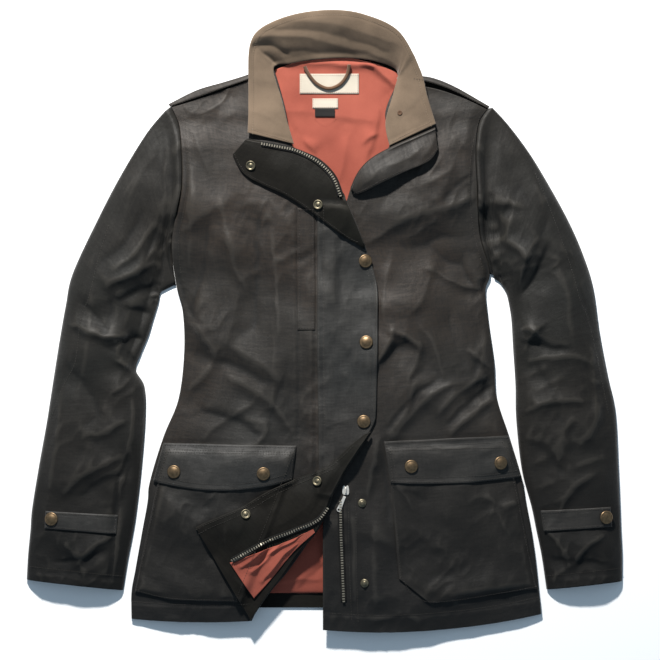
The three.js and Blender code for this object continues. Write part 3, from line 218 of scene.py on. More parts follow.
# creases, placed one by one
# from, to, sideways bend, width, lift (a trough below zero)
BODY_CREASES = [
    ((-171, 120), (-128, 142), 6, 18, 1.8), ((-128, 142), (-100, 48), -6, 18, 2.6),
    ((-84, 128), (-90, -4), 3, 22, -3.0), ((-168, 190), (-172, 75), 2, 14, 1.4),
    ((-148, 116), (-166, 26), 3, 15, -2.2), ((-64, 100), (-60, -10), 2, 13, 1.6),
    ((-153, 75), (-161, -10), 0, 20, 1.2), ((-173, 1), (-139, -44), 3, 9, 2.2),
    ((-179, 38), (-161, 0), -3, 10, -1.8), ((-148, -44), (-78, -74), 4, 14, -1.9),
    ((-117, -32), (-61, -71), 4, 15, 1.8), ((-114, -72), (-47, -128), 8, 15, 2.0),
    ((-149, -112), (-88, -140), 5, 12, -1.7), ((-168, -82), (-138, -38), -4, 13, 1.7),
    ((-148, -142), (-98, -108), 3, 11, 1.4), ((-66, -10), (-68, -104), 2, 14, 1.2),
    ((-48, -62), (-71, -138), -3, 12, -1.3), ((-166, 242), (-148, 190), 3, 14, 1.2),
    ((-131, 265), (-138, 215), -3, 20, -1.0), ((-111, 28), (-128, -29), 3, 18, 1.3),
    ((178, 152), (62, 106), -5, 16, 2.4), ((196, 39), (133, 65), 4, 12, 2.2),
    ((133, 65), (109, 12), 3, 16, 1.8), ((188, 96), (104, 92), -6, 30, -3.0),
    ((150, 100), (196, 24), 4, 18, -2.2),
    ((66, -48), (86, -14), -3, 8, 2.2), ((86, -14), (116, -32), 2, 8, 2.2),
    ((77, -44), (99, -31), 2, 8, -1.6), ((116, -32), (106, -69), 3, 9, 1.8),
    ((212, -62), (147, -111), -5, 10, 2.0), ((216, -76), (159, -124), -4, 7, -1.6),
    ((219, -94), (163, -136), -4, 8, 1.8), ((153, -81), (91, -139), -6, 13, 2.2),
    ((134, -78), (84, -128), -5, 11, -1.9), ((112, -80), (86, -135), 3, 11, 1.7),
    ((124, -10), (144, -62), 4, 14, 1.6), ((159, 5), (172, -50), -4, 14, -1.5),
    ((202, -10), (192, -62), 3, 9, 1.4), ((182, -38), (212, -55), -2, 6, 1.5),
    ((84, 75), (74, 5), -3, 15, 1.6), ((99, 215), (72, 145), 4, 22, -1.2),
    ((152, 252), (172, 178), 4, 18, 1.2), ((67, -152), (53, -212), 2, 10, 1.8),
    ((74, -175), (79, -250), 2, 9, -1.2), ((34, -248), (32, -348), 2, 8, 0.9),
    ((64, -260), (62, -352), -2, 12, 1.0), ((177, 228), (144, 158), -3, 16, 1.1),
    ((184, 180), (139, 148), -3, 12, -1.3),
]
RIGHT_SLEEVE_CREASES = [
    ((-266, 48), (-212, 72), -2, 10, 3.4), ((-252, 30), (-206, 46), 2, 13, -4.2),
    ((-240, 16), (-212, 6), 2, 13, -3.4), ((-226, 66), (-208, 92), 2, 8, 2.2),
    ((-311, -4), (-250, -19), -3, 10, 3.2), ((-258, -30), (-222, -22), 4, 14, -4.0),
    ((-247, -20), (-257, -39), -2, 7, 2.4), ((-255, -52), (-224, -82), 2, 9, 3.4),
    ((-240, -46), (-220, -64), 0, 10, -3.4), ((-206, 128), (-226, 66), 2, 10, -2.2),
    ((-247, -168), (-258, -193), 1, 3.5, -1.5), ((-258, -193), (-266, -322), 1, 3.5, -1.3),
    ((-300, 20), (-276, -4), 3, 12, -2.0), ((-318, -60), (-284, -112), 4, 16, -1.8),
    ((-266, 28), (-273, -10), 3, 12, -1.6), ((-236, -59), (-266, -88), 3, 9, 1.6),
    ((-256, -126), (-293, -140), 3, 8, 1.6), ((-259, -171), (-323, -211), -5, 9, 1.9),
    ((-256, -190), (-301, -215), -3, 8, -1.3), ((-264, -270), (-311, -306), -4, 7, 1.9),
    ((-276, -288), (-331, -298), 4, 7, -1.6), ((-321, -280), (-301, -315), 3, 7, 1.5),
    ((-218, 202), (-253, 128), -5, 22, 1.6), ((-198, 215), (-206, 115), 3, 10, 1.6),
    ((-231, 134), (-276, 75), 5, 14, -1.4), ((-218, 115), (-258, 68), 4, 9, 1.7),
    ((-293, 28), (-308, -85), 4, 16, 1.4), ((-331, -98), (-348, -222), 3, 14, 1.4),
    ((-281, -98), (-286, -185), -3, 16, -1.0), ((-241, -98), (-246, -162), 2, 8, 1.5),
    ((-246, -185), (-266, -260), 2, 9, -1.4),
]
LEFT_SLEEVE_CREASES = [
    ((178, 146), (237, 144), 2, 8, 3.0), ((216, 132), (222, 102), 3, 7, -3.0),
    ((236, 140), (230, 100), -2, 9, 2.6), ((226, 98), (250, 78), 3, 8, 2.6),
    ((262, 96), (244, 52), -3, 10, 2.8), ((276, 88), (252, 40), 3, 11, -3.2),
    ((244, -10), (270, -16), 2, 7, 2.6), ((272, -4), (250, -28), -3, 8, 2.2),
    ((248, -24), (300, -34), 2, 9, -2.6), ((286, 150), (268, 96), -3, 16, -1.6),
    ((253, -110), (317, -98), 3, 8, 1.8), ((344, -105), (322, -150), 3, 9, 1.6),
    ((329, -192), (297, -236), -4, 9, 1.7), ((254, -148), (294, -185), 4, 9, -1.4),
    ((346, -268), (314, -299), -4, 7, 1.9), ((277, -262), (304, -300), 4, 7, 1.5),
    ((289, -298), (344, -305), 3, 7, -1.4), ((244, 215), (279, 125), 4, 20, 1.6),
    ((224, 228), (249, 152), -4, 16, -1.3), ((294, 65), (309, -10), 3, 16, 1.5),
    ((332, -35), (339, -110), 3, 10, 1.3), ((269, -60), (294, -122), 3, 12, -1.2),
    ((257, -48), (332, -50), 5, 9, 1.3), ((307, -122), (289, -185), -3, 12, 1.2),
]
COLLAR_CREASES = [
    ((-84, 356), (96, 316), 14, 11, 2.6), ((-62, 366), (74, 336), 8, 9, -2.4),
    ((-40, 376), (84, 346), 6, 9, 1.6), ((-90, 346), (-50, 334), 4, 9, -4.0),
    ((-78, 336), (-60, 316), 2, 6, -2.6), ((-52, 336), (50, 334), 3, 8, -1.6),
    ((112, 336), (90, 303), 2, 6, -2.0), ((-90, 300), (-62, 296), 3, 10, 1.2),
    ((-92, 262), (-60, 246), 2, 9, 0.8), ((122, 280), (92, 250), 3, 9, -0.9),
]
LINING_CREASES = [
    ((50, 322), (88, 296), 3, 6, 2.6), ((-40, 322), (60, 318), 4, 6, 1.8),
    ((-56, 290), (-30, 210), -5, 7, 1.4), ((-44, 250), (-10, 180), 4, 8, -1.0),
    ((70, 262), (40, 180), 5, 8, 1.2), ((82, 286), (70, 226), 3, 6, -1.2),
    ((-50, 262), (60, 250), 5, 9, 0.8), ((30, 232), (12, 160), 2, 8, 1.0),
    ((-24, 226), (-14, 212), 1, 4, 1.5), ((52, 224), (66, 232), 1, 4, 1.3),
]
HEM_LINING_CREASES = [
    ((-60, -300), (10, -250), 4, 9, 1.6), ((-30, -330), (20, -290), 3, 8, -1.2),
    ((-70, -326), (-10, -322), 3, 7, 1.2), ((0, -240), (20, -330), 3, 9, 1.2),
]
CORNER_CREASES = [
    ((-20, -226), (-60, -250), 3, 9, 1.0), ((-96, -236), (-112, -282), 3, 9, -0.9),
    ((6, -204), (-16, -236), 3, 8, -1.0), ((-128, -250), (-104, -330), -3, 8, 0.8),
]
LAPEL_CREASES = [
    ((118, 214), (80, 196), 3, 8, 1.6), ((100, 222), (60, 192), -3, 7, -1.2),
    ((136, 226), (122, 206), 2, 6, 1.2), ((66, 188), (48, 170), 2, 6, 1.0),
]
GATHERS = [
    ((-22, -258), (-70, -292), 2, 3.2, 1.5), ((-32, -262), (-84, -302), -2, 3.0, -1.3),
    ((-40, -264), (-92, -312), 2, 3.4, 1.6), ((-52, -270), (-96, -306), 2, 2.8, -1.4),
    ((-34, -276), (-78, -324), -2, 3.2, 1.5), ((-62, -276), (-104, -306), 1, 3.0, 1.4),
    ((-24, -274), (-66, -318), 1, 3.0, -1.2), ((-72, -280), (-110, -300), 1, 2.6, 1.2),
]
POCKET_CREASES = [
    ((92, -206), (110, -232), 3, 7, 1.8), ((100, -212), (124, -222), 2, 6, -1.2),
    ((150, -214), (146, -300), 4, 20, 1.4), ((206, -216), (232, -312), -4, 18, 1.3),
    ((180, -240), (196, -330), 3, 16, -1.0), ((118, -262), (170, -318), 4, 12, 0.9),
    ((-196, -214), (-214, -320), 4, 16, 1.2), ((-130, -214), (-150, -330), -4, 20, 1.2),
    ((-170, -230), (-176, -330), 3, 16, -0.9), ((-100, -214), (-92, -262), 3, 10, 1.1),
]

# curves and grids


def smooth(values, t):
    """Smooth value through a row of numbers at t, from 0 to the last index."""
    v = np.asarray(values, float)
    last = len(v) - 1
    i = np.clip(np.floor(t).astype(int), 0, last - 1)
    f = t - i
    p, q, r, s = v[np.clip(i - 1, 0, last)], v[i], v[i + 1], v[np.clip(i + 2, 0, last)]
    return q + 0.5 * f * (r - p + f * (2 * p - 5 * q + 4 * r - s + f * (3 * (q - r) + s - p)))


def smooth_points(points, t):
    """Smooth curve through a row of points at t."""
    values = np.asarray(points, float)
    return np.stack([smooth(values[:, k], t) for k in range(values.shape[1])], -1)


def column(rows, k):
    return [row[k] for row in rows]


def eased(f):
    """A share from 0 to 1, slow at both ends."""
    return f * f * (3 - 2 * f)


def hump(s):
    """0 at both edges and 1 in the middle."""
    return 4 * s * (1 - s)


def inward(s):
    """Share of the way in from the nearer edge."""
    return np.minimum(s, 1 - s)


def spread(length, step, rim=True):
    """Stations from 0 to 1 along a length, closer at both ends so that the rim can be rounded."""
    n = max(2, int(round(length / step)))
    s = np.linspace(0, 1, n + 1)
    if rim:
        near = np.array([0.7, 1.7]) / length
        s = np.unique(np.concatenate([s, near, 1 - near]))
        s = s[np.concatenate([[True], np.diff(s) > 0.3 / length])]
        s[-1] = 1
    return s


def between(first, second, across_step=STEP, along_step=STEP, bows=None, rim=True):
    """Plan grid between two lines of points, rows along them and columns across."""
    a, b = np.asarray(first, float), np.asarray(second, float)
    last = len(a) - 1
    length = 0.5 * (np.hypot(*np.diff(a, axis=0).T).sum() + np.hypot(*np.diff(b, axis=0).T).sum())
    width = np.hypot(*(b - a).T).max()
    t = spread(length, along_step, rim) * last
    s = spread(width, across_step, rim)
    pa, pb = smooth_points(a, t), smooth_points(b, t)
    grid = pa[:, None] + (pb - pa)[:, None] * s[None, :, None]
    if bows is not None:
        grid[..., 1] += smooth(bows, t)[:, None] * hump(s)
    return grid[..., 0], grid[..., 1], t, s


def arch(s):
    """Outline of laid cloth: steep at both edges, level in the middle."""
    away = np.abs(2 * np.clip(s, 0, 1) - 1)
    return (1 - away ** 2.6) ** 0.75


def level(table, k, y):
    """Eased value of a table's column k at a distance up the body."""
    ys, v = np.array(column(table, 0), float), np.array(column(table, k), float)
    i = np.clip(np.searchsorted(ys, y) - 1, 0, len(ys) - 2)
    f = np.clip((y - ys[i]) / (ys[i + 1] - ys[i]), 0, 1)
    return v[i] + (v[i + 1] - v[i]) * eased(f)


def edge_at(rows, y):
    """Where a front's side edge is, at a distance up the body."""
    xs, ys = np.array(column(rows, 0), float).T
    return np.interp(y, ys, xs)


def fold_lift(x, y, folds):
    """Height of the broad folds, each a soft ridge that fades at its ends."""
    total = np.zeros_like(x)
    for start, end, width, lift in folds:
        dx, dy = end[0] - start[0], end[1] - start[1]
        t = ((x - start[0]) * dx + (y - start[1]) * dy) / (dx * dx + dy * dy)
        c = np.clip(t, 0, 1)
        off = np.hypot(x - start[0] - c * dx, y - start[1] - c * dy)
        total += lift * np.exp(-(off / (width * 0.5)) ** 2) * np.sin(math.pi * (0.15 + 0.7 * c))
    return total


def crease_lift(x, y, creases, seed=0, size=1.0):
    """Folds as waxed cloth holds them: a long slope towards the light, a short steep one away."""
    wander, tremble = 2.6, 0.8
    wx = x + wander * noise(x, y, 31, seed + 70) + tremble * noise(x, y, 11, seed + 72)
    wy = y + wander * noise(x, y, 31, seed + 71) + tremble * noise(x, y, 11, seed + 73)
    total = np.zeros_like(x)
    for start, end, bend, width, lift in creases:
        dx, dy = end[0] - start[0], end[1] - start[1]
        length = math.hypot(dx, dy)
        t = ((wx - start[0]) * dx + (wy - start[1]) * dy) / length ** 2
        c = np.clip(t, 0, 1)
        side = (dx * (wy - start[1]) - dy * (wx - start[0])) / length
        side = side - bend * hump(c)
        past = (t - c) * length
        lit = math.copysign(1, dx if abs(dx) > 0.2 * abs(dy) else -dy) * math.copysign(1, lift)
        taper = 0.55 + 0.6 * np.sin(math.pi * (0.1 + 0.8 * c))
        half = np.where(side * lit > 0, 1.75 * width, 0.52 * width) * taper
        away = np.sqrt((side / half) ** 2 + (past / (0.9 * width)) ** 2)
        fade = np.sin(math.pi * (0.14 + 0.72 * c)) ** 0.7
        total += size * lift * fade * np.exp(-away ** 1.35)
    return total


def in_cell(corner, fu, fv):
    """Value inside a grid cell, blended from its four corners."""
    return ((corner(0, 0) * (1 - fu) + corner(1, 0) * fu) * (1 - fv)
            + (corner(0, 1) * (1 - fu) + corner(1, 1) * fu) * fv)


def noise(x, y, size, seed, stretch=1.0, angle=0.0):
    """Smooth value noise from -1 to 1 with features of about that size."""
    ca, sa = math.cos(angle), math.sin(angle)
    u, v = (x * ca + y * sa) / (size * stretch), (-x * sa + y * ca) / size
    cells = 97
    lattice = np.random.default_rng(seed).random((cells, cells)) * 2 - 1
    iu, iv = np.floor(u).astype(int), np.floor(v).astype(int)
    fu, fv = u - iu, v - iv
    fu, fv = fu ** 3 * (fu * (fu * 6 - 15) + 10), fv ** 3 * (fv * (fv * 6 - 15) + 10)
    return in_cell(lambda a, b: lattice[(iu + a) % cells, (iv + b) % cells], fu, fv)


def crumple(x, y, seed, amount=1.0):
    """Waxed cloth holds broad dents with crisp turns: noise at four sizes, uneven in strength."""
    wx = x + 9 * noise(x, y, 50, seed + 8)
    wy = y + 9 * noise(x, y, 50, seed + 9)
    broad = noise(wx, wy, 64, seed, 1.5, 0.8)
    big = noise(wx, wy, 34, seed + 1, 1.6, -0.6)
    mid = 0.5 - np.abs(noise(wx, wy, 27, seed + 4, 1.9, 0.5))
    small = 0.5 - np.abs(noise(wx, wy, 12, seed + 2, 1.6, 1.1))
    strong = np.clip(0.5 + noise(x, y, 75, seed + 3), 0, 1.3)
    return amount * (3.2 * broad + 2.0 * big + strong * (2.4 * mid + 1.0 * small))


def crinkle(x, y, path, width, seed, amount=2.2, depth=3.0):
    """Cloth crushed into a seam: a trench full of small sharp crinkles."""
    off, along = line_distance(x, y, path)
    near = np.exp(-(off / width) ** 2)
    sharp = 0.5 - np.abs(noise(x, y, 9, seed, 2.2, 0.25))
    fine = 0.5 - np.abs(noise(x, y, 5, seed + 1, 1.6, 0.1))
    return near * (amount * (sharp + 0.4 * fine) - depth)


def line_distance(x, y, path):
    """Distance from a path in plan, and how far along it the nearest point is."""
    best = np.full(x.shape, 1e9)
    along = np.zeros_like(x)
    run = 0.0
    for (ax, ay), (bx, by) in zip(path[:-1], path[1:]):
        dx, dy = bx - ax, by - ay
        length = math.hypot(dx, dy)
        c = np.clip(((x - ax) * dx + (y - ay) * dy) / length ** 2, 0, 1)
        off = np.hypot(x - ax - c * dx, y - ay - c * dy)
        nearer = off < best
        best = np.where(nearer, off, best)
        along = np.where(nearer, run + c * length, along)
        run += length
    return best, along


def seam_lift(x, y, path, width=2.2, depth=0.8, pucker=0.14, pitch=9.0, seed=5):
    """A sewn line: a narrow groove, with small uneven puckers drawn up beside it."""
    off, along = line_distance(x, y, path)
    level_line = np.zeros_like(along)
    jitter = noise(along, level_line, 13, seed) * 4.5
    strength = np.clip(0.4 + noise(along, level_line + 40, 31, seed + 1), 0, 1.4)
    ripple = np.sin(2 * math.pi * along / pitch + jitter) * strength
    return -depth * np.exp(-(off / width) ** 2) + pucker * ripple * np.exp(-(off / (width * 2.6)) ** 2)


# what has been laid


class Laid:
    """Heights of everything laid so far, one to a millimetre, so that the next piece lies on it."""

    HALF_X, HALF_Y = 400, 420
    FINER = 4

    def __init__(self):
        self.heights = np.zeros((2 * self.HALF_Y + 1, 2 * self.HALF_X + 1))
        self.kept = {}

    def add(self, x, y, z):
        """Adds a grid of points, first made finer so that it leaves no cell out."""
        def finer(a):
            for axis in (0, 1):
                n = a.shape[axis]
                at = np.linspace(0, n - 1, (n - 1) * self.FINER + 1)
                i = np.clip(at.astype(int), 0, n - 2)
                f = (at - i)[:, None] if axis == 0 else (at - i)[None]
                a = np.take(a, i, axis) * (1 - f) + np.take(a, i + 1, axis) * f
            return a
        columns = np.clip(np.rint(finer(x) + self.HALF_X).astype(int), 0, 2 * self.HALF_X)
        rows = np.clip(np.rint(finer(y) + self.HALF_Y).astype(int), 0, 2 * self.HALF_Y)
        np.maximum.at(self.heights, (rows.ravel(), columns.ravel()), finer(z).ravel())
        self.kept = {}

    def soft(self, reach, blur):
        """The heights, each the highest within reach, then blurred."""
        key = (reach, blur)
        if key not in self.kept:
            m = self.heights
            for axis in (0, 1):
                m = np.max([np.roll(m, k, axis) for k in range(-reach, reach + 1)], axis=0)
            if blur:
                k = np.arange(-int(2.5 * blur), int(2.5 * blur) + 1)
                w = np.exp(-0.5 * (k / blur) ** 2)
                w /= w.sum()
                for axis in (0, 1):
                    m = sum(np.roll(m, int(j), axis) * v for j, v in zip(k, w))
            self.kept[key] = m
        return self.kept[key]

    def top(self, x, y, reach=1, blur=0):
        """Height of what is laid, at places in plan."""
        m = self.soft(reach, blur)
        u = np.clip(x + self.HALF_X, 0, 2 * self.HALF_X - 0.01)
        v = np.clip(y + self.HALF_Y, 0, 2 * self.HALF_Y - 0.01)
        i, j = u.astype(int), v.astype(int)
        return in_cell(lambda a, b: m[j + b, i + a], u - i, v - j)


laid = Laid()

# meshes


def in_scene(name, mesh, body=JACKET):
    """Puts a mesh in the scene as a piece on its body."""
    obj = bpy.data.objects.new(name, mesh)
    bpy.context.scene.collection.objects.link(obj)
    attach(obj, body)


def make_object(name, points, faces, material, uv=None, wear_and_shade=None, body=JACKET, smooth_faces=True):
    """A piece from points in millimetres; faces are an array of quads, or lists."""
    mesh = bpy.data.meshes.new(name)
    points = np.asarray(points, float) * MM
    if isinstance(faces, np.ndarray):
        mesh.vertices.add(len(points))
        mesh.vertices.foreach_set("co", points.ravel())
        mesh.loops.add(faces.size)
        mesh.loops.foreach_set("vertex_index", faces.ravel())
        mesh.polygons.add(len(faces))
        mesh.polygons.foreach_set("loop_start", np.arange(len(faces)) * faces.shape[1])
        mesh.update(calc_edges=True)
        mesh.validate()
    else:
        mesh.from_pydata([tuple(p) for p in points], [], [list(map(int, face)) for face in faces])
    if uv is not None:
        layer = mesh.uv_layers.new(name="cloth")
        loops = np.zeros(len(mesh.loops), int)
        mesh.loops.foreach_get("vertex_index", loops)
        layer.data.foreach_set("uv", np.asarray(uv, float)[loops].ravel())
    if wear_and_shade is not None:
        # curvature that the finishes paint wear, highlight and shade from
        layer = mesh.attributes.new("wear_and_shade", "FLOAT", "POINT")
        layer.data.foreach_set("value", np.asarray(wear_and_shade, float).ravel())
    mesh.polygons.foreach_set("use_smooth", [smooth_faces] * len(mesh.polygons))
    mesh.materials.append(material)
    in_scene(name, mesh, body)


def grid_normals(p):
    """Unit normals of a grid of points, upward on the whole."""
    along = np.gradient(p, axis=0)
    across = np.gradient(p, axis=1)
    n = np.cross(across, along)
    n /= np.maximum(np.linalg.norm(n, axis=-1, keepdims=True), 1e-9)
    return n * (1 if n[..., 2].sum() > 0 else -1)


def ridge_wear_and_hollow_shade(p):
    """1 on sharp ridges, 0 in hollows, 0.5 on level cloth; the finishes paint wear and highlight on the
    ridges and shade in the hollows from it.
    """
    z = p[..., 2]
    bend = np.zeros_like(z)
    bend[1:-1] += z[1:-1] - 0.5 * (z[2:] + z[:-2])
    bend[:, 1:-1] += z[:, 1:-1] - 0.5 * (z[:, 2:] + z[:, :-2])
    bend = np.clip(bend, -0.6, 0.6)
    for _ in range(2):
        bend[1:-1, 1:-1] = (bend[1:-1, 1:-1] * 2 + bend[2:, 1:-1] + bend[:-2, 1:-1]
                            + bend[1:-1, 2:] + bend[1:-1, :-2]) / 6
    return np.clip(0.5 + bend * 1.6, 0, 1)


def shell(name, p, thickness, material):
    """Closes a grid of top points into a thin shell with rounded rims."""
    p = np.array(p, float)
    rows, columns = p.shape[:2]
    n = grid_normals(p)
    low = p - n * thickness
    drop = np.zeros((rows, columns))
    for line, share in ((1, 0.25), (0, 1)):
        drop[[line, -1 - line], :] = share
        drop[:, [line, -1 - line]] = share
    drop = drop[..., None] * RIM_EASE * thickness
    p, low = p - n * drop, low + n * drop
    u = np.zeros((rows, columns))
    v = np.zeros((rows, columns))
    u[:, 1:] = np.cumsum(np.linalg.norm(np.diff(p, axis=1), axis=-1), axis=1)
    v[1:, :] = np.cumsum(np.linalg.norm(np.diff(p, axis=0), axis=-1), axis=0)
    uv = np.stack([u, v], -1).reshape(-1, 2) * MM
    k = np.arange(rows * columns).reshape(rows, columns)
    m = k + rows * columns
    faces = np.concatenate([
        np.stack([k[:-1, :-1], k[:-1, 1:], k[1:, 1:], k[1:, :-1]], -1).reshape(-1, 4),
        np.stack([m[:-1, :-1], m[1:, :-1], m[1:, 1:], m[:-1, 1:]], -1).reshape(-1, 4),
        np.stack([k[:-1, 0], k[1:, 0], m[1:, 0], m[:-1, 0]], -1),
        np.stack([k[1:, -1], k[:-1, -1], m[:-1, -1], m[1:, -1]], -1),
        np.stack([k[0, 1:], k[0, :-1], m[0, :-1], m[0, 1:]], -1),
        np.stack([k[-1, :-1], k[-1, 1:], m[-1, 1:], m[-1, :-1]], -1),
    ])
    if np.cross(p[0, 1] - p[0, 0], p[1, 0] - p[0, 0])[2] * n[0, 0, 2] < 0:
        faces = faces[:, ::-1].copy()
    points = np.concatenate([p.reshape(-1, 3), low.reshape(-1, 3)])
    wear_and_shade = ridge_wear_and_hollow_shade(p).ravel()
    make_object(name, points, faces, material, np.concatenate([uv, uv]),
                np.concatenate([wear_and_shade, wear_and_shade]))


def lay(name, x, y, z, thickness, material):
    """Lays a grid of top points on what is there, as a shell."""
    laid.add(x, y, z)
    shell(name, np.stack([x, y, z], -1), thickness, material)


# finishes


class Value:
    """A number in a shader; arithmetic on it adds Math nodes."""

    def __init__(self, finish, socket):
        self.finish, self.socket = finish, socket

    def _math(self, kind, *others, swap=False, clamp=False):
        node = self.finish.tree.nodes.new("ShaderNodeMath")
        node.operation = kind
        node.use_clamp = clamp
        terms = [self, *others]
        if swap:
            terms.reverse()
        for i, term in enumerate(terms):
            self.finish.put(node.inputs[i], term)
        return Value(self.finish, node.outputs[0])

    def __add__(self, other):
        return self._math("ADD", other)

    __radd__ = __add__

    def __sub__(self, other):
        return self._math("SUBTRACT", other)

    def __rsub__(self, other):
        return self._math("SUBTRACT", other, swap=True)

    def __mul__(self, other):
        return self._math("MULTIPLY", other)

    __rmul__ = __mul__

    def wave(self):
        return self._math("SINE")

    def kept_in(self):
        """The same, held between 0 and 1."""
        return self._math("ADD", 0.0, clamp=True)


class Finish:
    """One material, built around its Principled shader."""

    def __init__(self, name):
        self.material = bpy.data.materials.new(name)
        self.material.use_nodes = True
        self.tree = self.material.node_tree
        self.shader = self.tree.nodes["Principled BSDF"]

    def put(self, socket, value):
        if isinstance(value, Value):
            value = value.socket
        if isinstance(value, bpy.types.NodeSocket):
            self.tree.links.new(value, socket)
        else:
            socket.default_value = value

    def node(self, kind, settings=None, output=0, **sockets):
        """Adds a node; a socket is named, with _ for a space, or numbered."""
        node = self.tree.nodes.new(kind)
        for key, value in (settings or {}).items():
            setattr(node, key, value)
        for key, value in sockets.items():
            self.put(node.inputs[int(key) if key.isdigit() else key.replace("_", " ")], value)
        return Value(self, node.outputs[output])

    def set(self, **sockets):
        for key, value in sockets.items():
            self.put(self.shader.inputs[key.replace("_", " ")], value)
        return self

    def place(self):
        """Object coordinates."""
        return self.node("ShaderNodeTexCoord", output=3)

    # curvature attribute: painted wear and highlight on ridges, painted shade in hollows
    def wear_and_shade(self):
        return self.node("ShaderNodeAttribute", {"attribute_name": "wear_and_shade"}, output=2)

    def cloth_uv(self):
        return self.node("ShaderNodeUVMap", {"uv_map": "cloth"})

    def patches(self, where, size, detail=3.0, rough=0.5, seed=0.0):
        """Noise with patches of about that many millimetres."""
        return self.node("ShaderNodeTexNoise", {"noise_dimensions": "4D"}, Vector=where, W=seed,
                         Scale=1000.0 / size, Detail=detail, Roughness=rough)

    def stretched(self, vector, along, across):
        """Cloth coordinates scaled, so that what reads them is drawn out into threads."""
        return self.node("ShaderNodeVectorMath", {"operation": "MULTIPLY"},
                         **{"0": vector, "1": (along, across, 1.0)})

    def mix(self, factor, a, b):
        """Colour a where the factor is 0, b where it is 1."""
        return self.node("ShaderNodeMix", {"data_type": "RGBA"}, 2, Factor=factor, **{"6": a, "7": b})

    def soften(self, value, low, high):
        """0 below low, 1 above high, smooth between."""
        return self.node("ShaderNodeMapRange", {"interpolation_type": "SMOOTHSTEP"},
                         Value=value, From_Min=low, From_Max=high)

    def split(self, vector):
        first = self.node("ShaderNodeSeparateXYZ", **{"0": vector})
        return [Value(self, out) for out in first.socket.node.outputs]

    def bump(self, height, distance, strength=1.0, normal=None):
        extra = {"Normal": normal} if normal is not None else {}
        return self.node("ShaderNodeBump", Height=height, Distance=distance, Strength=strength, **extra)


def colour(r, g, b):
    """sRGB 0-255 to the linear colour of a socket."""
    def line(v):
        v /= 255
        return v / 12.92 if v <= 0.04045 else ((v + 0.055) / 1.055) ** 2.4
    return (line(r), line(g), line(b), 1)


def weave(finish, uv, pitch):
    """Height of a plain weave: threads over and under, pitch in millimetres."""
    u, v, _ = finish.split(uv)
    turns = 2 * math.pi * 1000 / pitch
    return (u * turns).wave() * (v * turns).wave() * 0.5 + 0.5


def waxed_cotton(name, deep, warm, cool_sheen, shine, seed, hem_shade):
    """Waxed cotton: deep and warm patches, cooler patches of painted sheen, and painted shade darker
    towards the hem.
    """
    f = Finish(name)
    where = f.place()
    uv = f.cloth_uv()
    wear_and_shade = f.wear_and_shade()
    broad = f.soften(f.patches(where, 170, 2.0, 0.5, seed), 0.38, 0.66)
    blotch = f.soften(f.patches(where, 38, 3.0, 0.6, seed + 4), 0.35, 0.7)
    fine = f.patches(where, 1.9, 2.0, 0.7, seed + 9)
    slubs = f.patches(f.stretched(uv, 0.12, 1), 2.6, 1.0, 0.6, seed + 11) * 0.6
    slubs = slubs + f.patches(f.stretched(uv, 1, 0.12), 2.6, 1.0, 0.6, seed + 12) * 0.4
    _, y, _ = f.split(where)
    base = f.mix(broad, deep, warm)
    # cool patches, placed at random, are a painted reflection of the wax's sheen
    base = f.mix(f.soften(f.patches(where, 120, 1.0, 0.5, seed + 2), 0.5, 0.78) * 0.7, base, cool_sheen)
    # painted shade: darker towards the hem, as the light falls off
    base = f.mix(f.soften(0.0 - y, 0.04, 0.4) * hem_shade, base, colour(9, 9, 8))
    grain = f.soften(slubs * 0.7 + fine * 0.3, 0.4, 0.6)
    base = f.mix(blotch * 0.2 + grain * 0.5, base, colour(17, 15, 13))
    # lighter on ridges, partly wear and partly painted highlight; darker in hollows, painted shade
    ridge_wear_and_highlight = f.soften(wear_and_shade, 0.52, 0.85)
    hollow_shade = f.soften(1 - wear_and_shade, 0.52, 0.85)
    base = f.mix(ridge_wear_and_highlight * 0.22, base, colour(74, 70, 64))
    base = f.mix(hollow_shade * 0.5, base, colour(9, 9, 8))
    dents = f.patches(where, 7.5, 3.0, 0.55, seed + 1)
    relief = f.bump(dents, 0.0011, 0.4)
    relief = f.bump(slubs, 0.0004, 0.5, relief)
    relief = f.bump(weave(f, uv, 0.62), 0.00009, 0.6, relief)
    rough = 0.5 + blotch * 0.12 - ridge_wear_and_highlight * 0.08 + grain * 0.08
    return f.set(Base_Color=base, Roughness=rough, Normal=relief, Specular_IOR_Level=shine,
                 Sheen_Weight=0.04, Sheen_Roughness=0.5).material


def brushed_cloth(name, light, dark, pitch=0.5, nap=0.35, seed=0.0, sheen=0.25):
    """Woven cloth with a soft nap, with painted shade in its hollows."""
    f = Finish(name)
    where = f.place()
    broad = f.patches(where, 60, 3.0, 0.6, seed)
    fine = f.patches(where, 2.1, 3.0, 0.7, seed + 3)
    wear_and_shade = f.wear_and_shade()
    base = f.mix((f.soften(broad, 0.3, 0.7) * 0.6 + fine * 0.4).kept_in(), dark, light)
    # painted shade in the hollows
    base = f.mix(f.soften(1 - wear_and_shade, 0.55, 0.9) * 0.4, base, dark)
    relief = f.bump(weave(f, f.cloth_uv(), pitch), 0.0001, 0.6)
    relief = f.bump(fine, 0.0004, nap, relief)
    return f.set(Base_Color=base, Roughness=0.9, Normal=relief, Specular_IOR_Level=0.25,
                 Sheen_Weight=sheen, Sheen_Roughness=0.4).material


def metal(name, tint, dark, roughness, seed=0.0, metallic=0.95):
    """Worn metal with darker spots."""
    f = Finish(name)
    where = f.place()
    grain = f.patches(where, 3.0, 4.0, 0.65, seed)
    spots = f.soften(f.patches(where, 1.2, 3.0, 0.6, seed + 5), 0.5, 0.75)
    base = f.mix((f.soften(grain, 0.35, 0.7) * 0.6 + spots * 0.25).kept_in(), tint, dark)
    return f.set(Base_Color=base, Metallic=metallic, Roughness=roughness + spots * 0.15,
                 Normal=f.bump(grain, 0.0001, 0.3)).material
